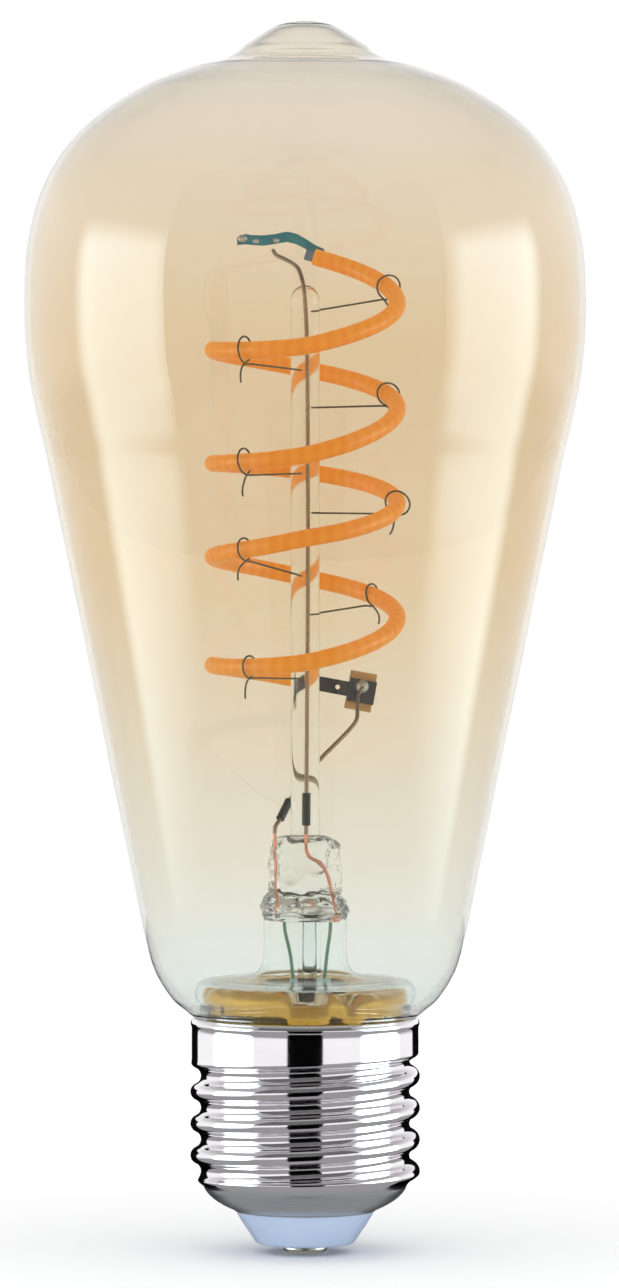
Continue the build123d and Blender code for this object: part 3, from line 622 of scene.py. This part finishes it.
# %% Amber bulb
GLASS_WALL = 0.7
crown_line = [
    (0.0, 140.5), (1.8, 140.32), (3.43, 139.86), (5.1, 138.9), (6.66, 137.83), (8.1, 136.72),
    (9.8, 135.9), (13.8, 134.85), (19.35, 132.49), (25.56, 127.95), (29.56, 122.27),
    (31.56, 115.45), (32.0, 107.5), (31.5, 100.2), (30.2, 93.8), (29.4, 90.5),
]
taper_line = [(29.4, 90.5), (23.95, 63.7), (18.5, 36.9)]
neck_line = [(18.5, 36.9), (17.18, 32.35), (15.2, 29.08), (13.4, 27.5), (12.5, 26.6), (12.5, 23.4)]
bulb_outline = flow(crown_line, 6)[:-1] + flow(taper_line, 12)[:-1] + flow(neck_line, 6)
RING_HEIGHTS = (137.45, 136.4)
RING_DEPTH = 0.05
RING_WIDTH = 0.3
RING_REACH = 12
for point in bulb_outline:
    for ring in RING_HEIGHTS:
        if point.x < RING_REACH:
            point.x += RING_DEPTH * math.exp(-(((point.y - ring) / RING_WIDTH) ** 2))
bulb = make_piece(spun(bulb_outline, 144), "bulb_glass", ["glass_envelope"])
add_modifier(bulb, "SOLIDIFY", thickness=GLASS_WALL * MM, offset=-1, use_even_offset=True)

# %% [markdown]
# ## The screw cap
# The thread is rolled into thin sheet, so it is a soft wave of two equal arcs,
# and it starts and ends gradually. A fine plain band is spun first, and each of
# its points is then moved out or in by the wave, which climbs one pitch for each
# turn.

# %% The rolled wave
PITCH = 3.629
ROOT_RADIUS = 11.9
THREAD_DEPTH = crest_radius - ROOT_RADIUS
half_pitch = PITCH / 2
arc_radius = (half_pitch**2 + THREAD_DEPTH**2) / (4 * THREAD_DEPTH)
CREST_AT_RIGHT = 9.31
THREAD_FOOT = 8.0
THREAD_END_LOW = 21.5
THREAD_END_HIGH = 22.5
THREAD_END_SWING = 0.35
THREAD_END_TURN = 0.35


def ease(value, start, end):
    """0 before start, 1 after end, and smooth between."""
    t = min(max((value - start) / (end - start), 0), 1)
    return t * t * (3 - 2 * t)


def thread_radius(height, angle):
    """Radius of the rolled wave at a height and an angle."""
    climb = height - CREST_AT_RIGHT - PITCH * angle / math.tau
    off_crest = abs((climb + half_pitch) % PITCH - half_pitch)
    if off_crest < half_pitch / 2:
        return crest_radius - arc_radius + math.sqrt(arc_radius**2 - off_crest**2)
    off_root = half_pitch - off_crest
    return ROOT_RADIUS + arc_radius - math.sqrt(arc_radius**2 - off_root**2)


print("arcs of the thread:", round(arc_radius, 3), "mm")

# %% Screw cap
SKIRT_RADIUS = 12.95
SHELL_WALL = 0.25
BAND_TOP = 23.2
BAND_STEP = 0.1
FOOT_TOP = 7.5
FOOT_RADIUS = 11.55
skirt_line = [
    (SKIRT_RADIUS + 0.02, rim_height - 0.35), (SKIRT_RADIUS + 0.12, rim_height - 0.6),
    (SKIRT_RADIUS + 0.1, rim_height - 0.85), (SKIRT_RADIUS, rim_height - 1.1),
    (SKIRT_RADIUS, 24.5), (SKIRT_RADIUS, BAND_TOP),
]
rim_line = [(SKIRT_RADIUS - 0.26, rim_height), (SKIRT_RADIUS - 0.1, rim_height - 0.08)]
band_line = [(SKIRT_RADIUS, BAND_TOP - BAND_STEP * step) for step in range(1, 157)]
shoulder_line = [
    (FOOT_RADIUS, FOOT_TOP), (11.4, 7.2), (11.05, 6.75), (10.45, 6.2), (9.7, 5.7), (8.95, 5.3),
    (8.45, 5.08), (8.2, 4.98), (8.05, 4.82),
]
cap_outline = rim_line + flow(skirt_line, 3) + band_line + flow(shoulder_line, 3)
shape = spun(cap_outline, 240)
for corner in shape.verts:
    height = corner.co.z
    if height > BAND_TOP - BAND_STEP / 2 or height < FOOT_TOP + BAND_STEP / 2:
        continue
    angle = math.atan2(corner.co.y, corner.co.x)
    wave = thread_radius(height, angle)
    foot_blend = ease(height, THREAD_FOOT - 0.5, THREAD_FOOT + 1.1)
    swing = THREAD_END_SWING * math.cos(angle + THREAD_END_TURN)
    top_blend = ease(height, THREAD_END_LOW + swing, THREAD_END_HIGH + swing)
    plain_foot = FOOT_RADIUS + 0.25 * ease(height, FOOT_TOP, 8.2)
    radius = plain_foot + (wave - plain_foot) * foot_blend
    radius = radius + (SKIRT_RADIUS - radius) * top_blend
    scale = radius / math.hypot(corner.co.x, corner.co.y)
    corner.co.x *= scale
    corner.co.y *= scale
cap = make_piece(shape, "screw_cap_shell", ["cap_shell"])
add_modifier(cap, "SOLIDIFY", thickness=SHELL_WALL * MM, offset=-1, use_even_offset=True)

# %% [markdown]
# ## The insulator and the end contact
# The pale insulator is a shallow cup under the cap, and the contact is a flat
# head pressed into its middle, like a large rivet.

# %% Insulator and end contact
insulator_high = reach("cap_insulator")[1]
contact_high = reach("end_contact")[1]
contact_radius = contact_high.x
insulator_line = [
    (contact_radius - 0.4, 1.05), (3.2, 1.0), (4.6, 1.0), (5.2, 1.04), (5.62, 1.22), (5.9, 1.6),
    (6.4, 2.35), (7.05, 3.3), (7.6, 4.2), (7.85, 4.72), (7.86, 5.2),
]
inside_line = [(7.4, insulator_high.z), (contact_radius - 0.4, insulator_high.z)]
shape = spun(flow(insulator_line, 4) + [Vector(point) for point in inside_line], 120, closed=True)
make_piece(shape, "base_insulator", ["cap_insulator"])

contact_line = [
    (0, 0.06), (0.9, 0.02), (1.7, 0.0), (2.15, 0.05), (contact_radius, 0.4), (contact_radius, 0.75),
    (2.3, 0.98), (1.5, 1.1), (1.3, 2.0), (0, contact_high.z),
]
make_piece(spun(flow(contact_line, 3), 72), "centre_contact", ["end_contact"])

# %% [markdown]
# ## The glass stem
# The stem holds everything inside the bulb. A flared tube is melted to the neck,
# and at its top the glass was squeezed flat round the two wires. That part is
# spun as a stack of rings, and each ring is drawn out to a width and a thickness.
# Soft glass is left lumpy, so each point is then pushed in or out by noise.

# %% Flared tube and exhaust tube
flare_low, flare_high = reach("stem_flare")
flare_line = [
    (11.6, flare_low.z), (11.6, 26.0), (11.95, 27.4), (12.5, 28.8), (12.6, 30.0), (12.0, 30.9),
    (10.6, 31.25), (8.6, 31.35), (6.8, 31.5), (5.7, 31.9), (5.05, 32.7), (4.78, 34.0), (4.72, 35.6),
    (4.75, flare_high.z),
]
FLARE_WALL = 0.35
shape = spun(flow(flare_line, 6), 96)
flare = make_piece(shape, "stem_flared_tube", ["stem_flare"], "thin_glass")
add_modifier(flare, "SOLIDIFY", thickness=FLARE_WALL * MM, offset=-1, use_even_offset=True)

tube_low, tube_high = reach("exhaust_tube")
tube_middle = (tube_low + tube_high) / 2
tube_radius = (tube_high.x - tube_low.x) / 2
TUBE_BORE = 0.75
TUBE_UNEVEN = 0.05
TUBE_LIP = 1.05
outside = [(tube_radius + TUBE_UNEVEN * math.sin(step), tube_low.z + step) for step in range(0, 15)]
outside.append((tube_radius * TUBE_LIP, tube_high.z))
inside = [(TUBE_BORE, tube_high.z - 0.02), (TUBE_BORE, tube_low.z)]
shape = spun([Vector(point) for point in outside + inside], 48, closed=True)
bmesh.ops.translate(shape, verts=shape.verts, vec=(tube_middle.x, tube_middle.y, 0))
make_piece(shape, "stem_exhaust_tube", ["exhaust_tube"], "thin_glass")

# %% Squeezed glass
RUFFLE_HEIGHT = 39.7
RUFFLE_WIDTH = 1.1
RUFFLE_GRAIN = Vector((1.2, 1.2, 2.6)).length * 0.5
CALM_TOP = 47.5
WAVY_HEIGHTS = (38.6, 47.6)
WAVE = 0.45
pinch_low, pinch_high = reach("stem_pinch")
pinch_rings = [
    (pinch_low.z - 0.9, 4.3, 4.3), (pinch_low.z - 0.3, 4.7, 4.6), (39.5, 4.9, 4.3),
    (40.3, 4.75, 3.6),
    (41.0, 4.2, 2.8), (41.8, 4.0, 2.5), (43.2, 4.15, 2.6), (44.8, 4.2, 2.75), (46.2, 4.05, 2.7),
    (47.1, 3.5, 2.4), (47.7, 2.4, 1.8), (pinch_high.z, 1.1, 0.9),
]
widths = flow([(height, wide) for height, wide, thick in pinch_rings], 5)
thicks = flow([(height, thick) for height, wide, thick in pinch_rings], 5)
outline = [Vector((1.0, point.x)) for point in widths]
outline = [Vector((0.0, outline[0].y))] + outline + [Vector((0.0, outline[-1].y))]
shape = spun(outline, 72)
for corner in shape.verts:
    height = corner.co.z
    nearest = min(range(len(widths)), key=lambda place: abs(widths[place].x - height))
    corner.co.x *= widths[nearest].y
    corner.co.y *= thicks[nearest].y
    away = Vector((corner.co.x, corner.co.y, 0))
    ruffle = math.exp(-(((height - RUFFLE_HEIGHT) / RUFFLE_WIDTH) ** 2))
    lump = 0.15 * noise.noise(corner.co * 0.55) + 0.08 * noise.noise(corner.co * 1.5)
    lump *= 1 - 0.5 * ruffle
    lump += ruffle * (0.08 * noise.noise(corner.co * RUFFLE_GRAIN))
    corner.co += away * lump * (1 if height < CALM_TOP else 0.4)
    if WAVY_HEIGHTS[0] < height < WAVY_HEIGHTS[1]:
        spot = Vector((corner.co.x * 0.5, corner.co.y * 0.5, height * 0.4))
        corner.co.z += WAVE * noise.noise(spot)
make_piece(shape, "stem_squeezed_glass", ["stem_pinch"])

# %% [markdown]
# The rod is drawn glass, so it is round but not quite even. Its top was melted
# to a dome. Inside the rod are the crimped ends of the hooks.

# %% Support rod
rod_low, rod_high = reach("support_rod")
rod_radius = (rod_high.x - rod_low.x) / 2
ROD_SLIMNESS = 0.95
rod_line = []
for step in range(61):
    height = rod_low.z + (rod_high.z - rod_low.z - rod_radius) * step / 60
    even = 0.04 * noise.noise(Vector((0, 3, height * 0.16)))
    swell = 0.12 * math.exp(-(((height - rod_low.z) / 1.2) ** 2))
    rod_line.append(Vector((rod_radius * (ROD_SLIMNESS + even + swell * 0.3), height)))
dome_base = rod_high.z - rod_radius
for step in range(1, 10):
    turn = math.pi / 2 * step / 9
    across = rod_radius * ROD_SLIMNESS * math.cos(turn)
    rod_line.append(Vector((across, dome_base + rod_radius * math.sin(turn))))
rod_line.insert(0, Vector((0, rod_low.z)))
make_piece(spun(rod_line, 64), "stem_support_rod", ["support_rod"])

# %% [markdown]
# ## The light strip
# The strip is a coil of four turns, wound by hand round the rod, so its turns
# are not quite even. Its route is written as a height and an angle for each
# turn. A curve with a round section follows the route, and is then made a mesh.

# %% Route of the coil
jacket_low, jacket_high = reach("filament_jacket")
COIL_RADIUS = 10.55
COIL_TOP = 112.7
COIL_DROP = 12.3
COIL_TILT = 1.7
JACKET_RADIUS = 0.98
COIL_TURNS = 4
coil_unevenness = [
    0, -1.2, -1.75, -0.4, -1.0, -0.8, -1.65, -1.0, -0.5,
    0.6, 1.35, 0.6, -0.5, -0.1, -0.35, 0.6, -0.1,
]


def coil_spot(turns, radius=COIL_RADIUS):
    """A point on the coil, counted in turns from its upper end."""
    angle = math.pi / 2 - math.tau * turns
    quarter = min(int(turns * 4), len(coil_unevenness) - 2)
    part = turns * 4 - quarter
    uneven = coil_unevenness[quarter] * (1 - part) + coil_unevenness[quarter + 1] * part
    height = COIL_TOP - COIL_DROP * turns + COIL_TILT * math.sin(angle) + uneven
    return Vector((radius * math.cos(angle), radius * math.sin(angle), height))


def wire_mesh(name, points, radius, sides=8):
    """A round wire of the given radius through the points, as a mesh in metres."""
    data = bpy.data.curves.new(name, "CURVE")
    data.dimensions = "3D"
    data.bevel_depth = radius * MM
    data.bevel_resolution = sides // 2 - 1
    data.use_fill_caps = True
    data.resolution_u = 4
    spline = data.splines.new("NURBS")
    spline.points.add(len(points) - 1)
    for target, point in zip(spline.points, points):
        target.co = (*(Vector(point) * MM), 1)
    spline.order_u = 4
    spline.use_endpoint_u = True
    holder = bpy.data.objects.new(name, data)
    mesh = bpy.data.meshes.new_from_object(holder)
    bpy.data.objects.remove(holder)
    return mesh


COAT_START = 0.016
STEPS_PER_TURN = 36
steps = STEPS_PER_TURN * COIL_TURNS
route = [coil_spot(COAT_START)]
route += [coil_spot(step / STEPS_PER_TURN) for step in range(1, steps + 1)]
coat = wire_mesh("light_strip_coat", route, JACKET_RADIUS, sides=20)
mount_piece(coat, "light_strip_coat", ["filament_jacket"])
print("coil lies within", round(jacket_low.z, 1), "and", round(jacket_high.z, 1), "mm")

# %% [markdown]
# The upper end of the strip is a bare length of printed film, soldered to the
# upper lead. It has a kink where it was bent up out of the coil. A short upright
# edge is extruded from point to point, and Solidify makes the ribbon solid.

# %% Upper terminal
strip_start = coil_spot(0)
FILM_WIDTH = 1.25
FILM_THICKNESS = 0.22
FILM_EDGE = 0.05
terminal_steps = [
    (2.2, 0.1, 0.1, 0.9), (1.2, 0.0, 0.5, 0.95), (0.2, 0.0, 1.15, 0.95), (-1.0, -0.1, 1.8, 1.0),
    (-2.1, -0.2, 2.05, 1.0), (-3.4, -0.35, 1.8, 0.95), (-4.8, -0.5, 1.6, 1.0),
    (-6.2, -0.65, 1.65, 0.95), (-7.0, -0.7, 1.75, 1.0), (-7.9, -0.75, 1.5, 0.7),
]
shape = bmesh.new()
edge = None
for step_x, step_y, step_z, wide in terminal_steps:
    middle = strip_start + Vector((step_x, step_y, step_z))
    half = Vector((0, 0.28, 1)).normalized() * FILM_WIDTH * wide / 2
    if edge is None:
        edge = shape.edges.new((shape.verts.new(middle - half), shape.verts.new(middle + half)))
    else:
        grown = bmesh.ops.extrude_edge_only(shape, edges=[edge])["geom"]
        edge = next(part for part in grown if isinstance(part, bmesh.types.BMEdge))
        lower_first = sorted(edge.verts, key=lambda corner: corner.co.z)
        for corner, place in zip(lower_first, (middle - half, middle + half)):
            corner.co = place
bmesh.ops.subdivide_edges(shape, edges=shape.edges, cuts=2, use_grid_fill=True, smooth=0.6)
bmesh.ops.recalc_face_normals(shape, faces=shape.faces)
ribbon = make_piece(shape, "upper_terminal_film", ["top_terminal"])
add_modifier(ribbon, "SOLIDIFY", thickness=FILM_THICKNESS * MM, offset=0)
add_modifier(ribbon, "BEVEL", width=FILM_EDGE * MM, segments=2)

# %% Solder on the upper terminal
shape = bmesh.new()
for step_x, step_z, size in ((-7.25, 1.8, 0.5), (-5.75, 1.5, 0.36), (-3.35, 1.6, 0.34)):
    blob = bmesh.ops.create_uvsphere(shape, u_segments=24, v_segments=14, radius=size)["verts"]
    bmesh.ops.scale(shape, vec=(1.15, 0.5, 0.9), verts=blob)
    place = strip_start + Vector((step_x, step_x * 0.095 - 0.15, step_z))
    for corner in blob:
        corner.co *= 1 + 0.12 * noise.noise(corner.co * 3 + Vector((step_x, 0, 0)))
    bmesh.ops.translate(shape, vec=place, verts=blob)
make_piece(shape, "upper_terminal_solder", ["top_terminal_pads"])

# %% [markdown]
# ## The hooks
# Eight fine steel wires stand out from the rod and hold the coil, each with a
# loop round the strip. The loops were bent by hand with pliers, so every one is
# a little different, and most end in a short curled tail.

# %% Hooks
HOOK_RADIUS = 0.11
hooks = {
    "right_1": (0.18, 107.4, 1.5), "right_2": (1.18, 96.5, 1.45),
    "right_3": (2.25, 84.5, 1.4), "right_4": (3.13, 72.9, 1.25),
    "left_1": (0.61, 100.7, 1.5), "left_2": (1.61, 89.0, 1.5),
    "left_3": (2.61, 77.3, 1.4), "left_4": (3.6, 65.6, 1.4),
}
CURL = 0.5
TAIL_STEP = 0.42
LOOP_START = math.radians(250)
LOOP_TURN = math.radians(21)
LOOP_STEPS = 17


def hook_route(turns, root_height, loop_radius, number):
    """Out from the rod, once round the strip, and off in a curled tail."""
    strip = coil_spot(turns)
    outward = Vector((strip.x, strip.y, 0)).normalized()
    up = Vector((0, 0, 1))
    along = outward.cross(up)
    root = outward * 0.5 + up * root_height

    def loop_spot(step):
        turn = LOOP_START + LOOP_TURN * step
        size = loop_radius * (1 + 0.08 * math.sin(2 * turn + number))
        level = strip + outward * math.cos(turn) * size + up * math.sin(turn) * size
        return level + along * (0.045 * step - 0.35)

    foot = loop_spot(0)
    points = [root.lerp(foot, part) for part in (0, 0.25, 0.5, 0.75, 0.92)]
    points += [loop_spot(step) for step in range(LOOP_STEPS)]
    tail = points[-1]
    swing = LOOP_START + LOOP_TURN * LOOP_STEPS + math.pi / 2
    for step in range(7):
        swing -= CURL * (0.5 + 0.35 * math.sin(number * 2.3 + step))
        sideways = outward * math.cos(swing) * TAIL_STEP
        upwards = up * math.sin(swing) * TAIL_STEP
        tail = tail + sideways + upwards + along * 0.12
        points.append(tail)
    return points


for number, (name, (turns, root_height, loop_radius)) in enumerate(hooks.items()):
    points = hook_route(turns, root_height, loop_radius, number + 1)
    node = "support_hook_" + name
    mount_piece(wire_mesh("hook_" + name, points, HOOK_RADIUS), "hook_" + name, [node])

# %% [markdown]
# ## Golden film in the neck
# The driver is wrapped in a golden film, folded in at the top. The fold is not
# level: it is higher at the left, slopes at the right, has a notch where two edges
# meet, and dips in front of the two sleeves. A turned cup gets these by moving its
# upper points.

# %% Golden film
film_low = reach("driver_insulation")[0]
film_line = [
    (10.2, film_low.z), (10.35, 14), (10.4, 20), (10.5, 24), (10.8, 26), (11.25, 27.4),
    (11.7, 28.6),
    (11.75, 29.6), (11.3, 30.4), (10.4, 30.75), (8.9, 30.7), (7.2, 30.6), (5.9, 30.55), (4.6, 30.5),
]
shape = spun(flow(film_line, 5), 144)
WRAP_THICKNESS = 0.15
NOTCH_ANGLE = math.radians(-64)
NOTCH_DEPTH = 1.5
NOTCH_WIDTH = 0.1
DIP_DEPTH = 1.5
DIP_ANGLE = math.radians(-88)
DIP_HALF_WIDTH = math.radians(13)
for corner in shape.verts:
    angle = math.atan2(corner.co.y, corner.co.x)
    upper = ease(corner.co.z, 24, 28.6)
    slope = 0.75 * ease(math.cos(angle), 0.1, 1.0) * ease(-math.sin(angle), -0.4, 0.6)
    notch = NOTCH_DEPTH * math.exp(-(((angle - NOTCH_ANGLE) / NOTCH_WIDTH) ** 2))
    dip = DIP_DEPTH * (1 - ease(abs(angle - DIP_ANGLE), DIP_HALF_WIDTH * 0.75, DIP_HALF_WIDTH))
    crumple = noise.noise(Vector((corner.co.x * 0.5, corner.co.y * 0.5, corner.co.z * 0.3))) * 0.5
    corner.co.z -= upper * (slope + notch + dip + abs(crumple))
    corner.co.x += crumple * 0.35 * (1 - upper)
film = make_piece(shape, "driver_film_wrap", ["driver_insulation"])
add_modifier(film, "SOLIDIFY", thickness=WRAP_THICKNESS * MM, offset=-1)

# %% [markdown]
# ## The studio
# A pale floor runs out to a pale surround, and the light comes from two tall
# soft lamps, left and right, and a very soft one overhead. The lamps are seen in
# reflections only. Dark cards, also seen only in reflections, give the bright
# metal its dark lines, which is how polished metal is usually lit.

# %% Floor and surround
FLOOR_HALF_WIDTH = 30
shape = bmesh.new()
bmesh.ops.create_grid(shape, x_segments=8, y_segments=8, size=FLOOR_HALF_WIDTH)
floor_mesh = bpy.data.meshes.new("studio_floor")
shape.to_mesh(floor_mesh)
shape.free()
floor = bpy.data.objects.new("studio_floor", floor_mesh)
bpy.context.scene.collection.objects.link(floor)
paper = Finish("pale_paper", Roughness=0.9)
paper_cloud = paper.grain(60)
paper.colour(paper.blend(paper_cloud, tint(243, 243, 243), tint(240, 240, 240)))
floor_mesh.materials.append(paper.material)
floor.visible_glossy = False

world = bpy.data.worlds.new("studio_surround")
bpy.context.scene.world = world
world.use_nodes = True
surround = Nodes(world.node_tree)
direction = surround.node("ShaderNodeTexCoord", output="Generated")
rise = surround.rescale(surround.node("ShaderNodeSeparateXYZ", None, {0: direction}, 2), -1.0, 1.0)
SURROUND_STRENGTH = 1.04
SURROUND_LEVELS = [(0.40, 0.33), (0.455, 1.0), (0.60, 1.0), (0.80, 0.45), (1.0, 0.40)]
levels = surround.node("ShaderNodeValToRGB", {"stops": SURROUND_LEVELS}, {0: rise})
background = world.node_tree.nodes["Background"]
background.inputs["Strength"].default_value = SURROUND_STRENGTH
surround.plug(background.inputs["Color"], levels)

# %% Lamps


def aim(thing, place, target):
    thing.location = Vector(place) * MM
    heading = Vector(target) * MM - thing.location
    thing.rotation_euler = heading.to_track_quat("-Z", "Y").to_euler()


FEATHER = 0.22


def soft_lamp(name, azimuth, distance, width, height, radiance, middle):
    """A tall soft lamp at an angle round from the camera."""
    data = bpy.data.lights.new(name, "AREA")
    data.shape = "RECTANGLE"
    data.size = width * MM
    data.size_y = height * MM
    data.energy = radiance * math.pi * data.size * data.size_y
    data.color = LAMP_COLOUR
    data.use_nodes = True
    cloth = Nodes(data.node_tree)
    spot = cloth.node("ShaderNodeNewGeometry", output="Parametric")
    fades = []
    for place in (0, 1):
        across = cloth.node("ShaderNodeSeparateXYZ", None, {0: spot}, place)
        nearest = across.maths("MINIMUM", across, 1 - across)
        settings = {"interpolation_type": "SMOOTHSTEP"}
        values = {0: nearest, 1: 0.0, 2: FEATHER, 3: 0.0, 4: 1.0}
        fades.append(cloth.node("ShaderNodeMapRange", settings, values))
    cloth.plug(data.node_tree.nodes["Emission"].inputs["Strength"], fades[0] * fades[1])
    lamp = bpy.data.objects.new(name, data)
    bpy.context.scene.collection.objects.link(lamp)
    turn = math.radians(azimuth)
    place = (distance * math.sin(turn), -distance * math.cos(turn), middle)
    aim(lamp, place, (0, 0, middle))
    lamp.visible_camera = False
    lamp.visible_transmission = False
    lamp.visible_diffuse = False
    return lamp


LAMP_RADIANCE = 5.6
LAMP_COLOUR = (0.76, 0.96, 1.0)
LAMP_MIDDLE = 74
LAMP_DISTANCE = 500
LAMP_SIZE = (520, 447)
for name, azimuth in (("lamp_left", -80), ("lamp_right", 84)):
    soft_lamp(name, azimuth, LAMP_DISTANCE, *LAMP_SIZE, LAMP_RADIANCE, LAMP_MIDDLE)

SKY_STRENGTH = 2.3
SKY_WIDTH = math.radians(100)
sky_data = bpy.data.lights.new("lamp_overhead", "SUN")
sky_data.energy = SKY_STRENGTH
sky_data.angle = SKY_WIDTH
sky = bpy.data.objects.new("lamp_overhead", sky_data)
bpy.context.scene.collection.objects.link(sky)
aim(sky, (0, -150, 600), (0, 0, 0))
sky.visible_glossy = False
sky.visible_transmission = False

# %% Dark cards


def dark_card(name, middle, half_width, distance, low, high, shade):
    """A curved card round the bulb that only reflections see; angles in degrees from the front."""
    shape = bmesh.new()
    start = math.radians(middle - half_width - 90)
    corners = []
    for height in (low, high):
        place = (distance * math.cos(start), distance * math.sin(start), height)
        corners.append(shape.verts.new(place))
    edge = shape.edges.new(corners)
    bmesh.ops.spin(
        shape, geom=corners + [edge], cent=(0, 0, 0), axis=(0, 0, 1),
        angle=math.radians(2 * half_width), steps=24,
    )
    bmesh.ops.scale(shape, vec=(MM, MM, MM), verts=shape.verts)
    mesh = bpy.data.meshes.new(name)
    shape.to_mesh(mesh)
    shape.free()
    card = bpy.data.objects.new(name, mesh)
    bpy.context.scene.collection.objects.link(card)
    felt = Finish(name + "_felt", Roughness=1.0, Specular_IOR_Level=0.0)
    light = (shade, shade, shade, 1)
    dark = (shade / 2, shade / 2, shade / 2, 1)
    felt.colour(felt.blend(felt.grain(2.0), light, dark))
    mesh.materials.append(felt.material)
    for kind in ("camera", "diffuse", "transmission", "volume_scatter", "shadow"):
        setattr(card, "visible_" + kind, False)
    return card


BLACK = 0.004
GREY = 0.22
dark_card("card_front", 0, 17.8, 900, -900, 1000, BLACK)
dark_card("card_belly", 0, 53, 150, 46, 256, GREY)
dark_card("card_back_left", -152, 21, 70, -40, 28, BLACK)
dark_card("card_back_right", 152, 21, 70, -40, 28, BLACK)

# %% [markdown]
# The last cell brings the scene up to date.

# %% The end
bpy.context.view_layer.update()
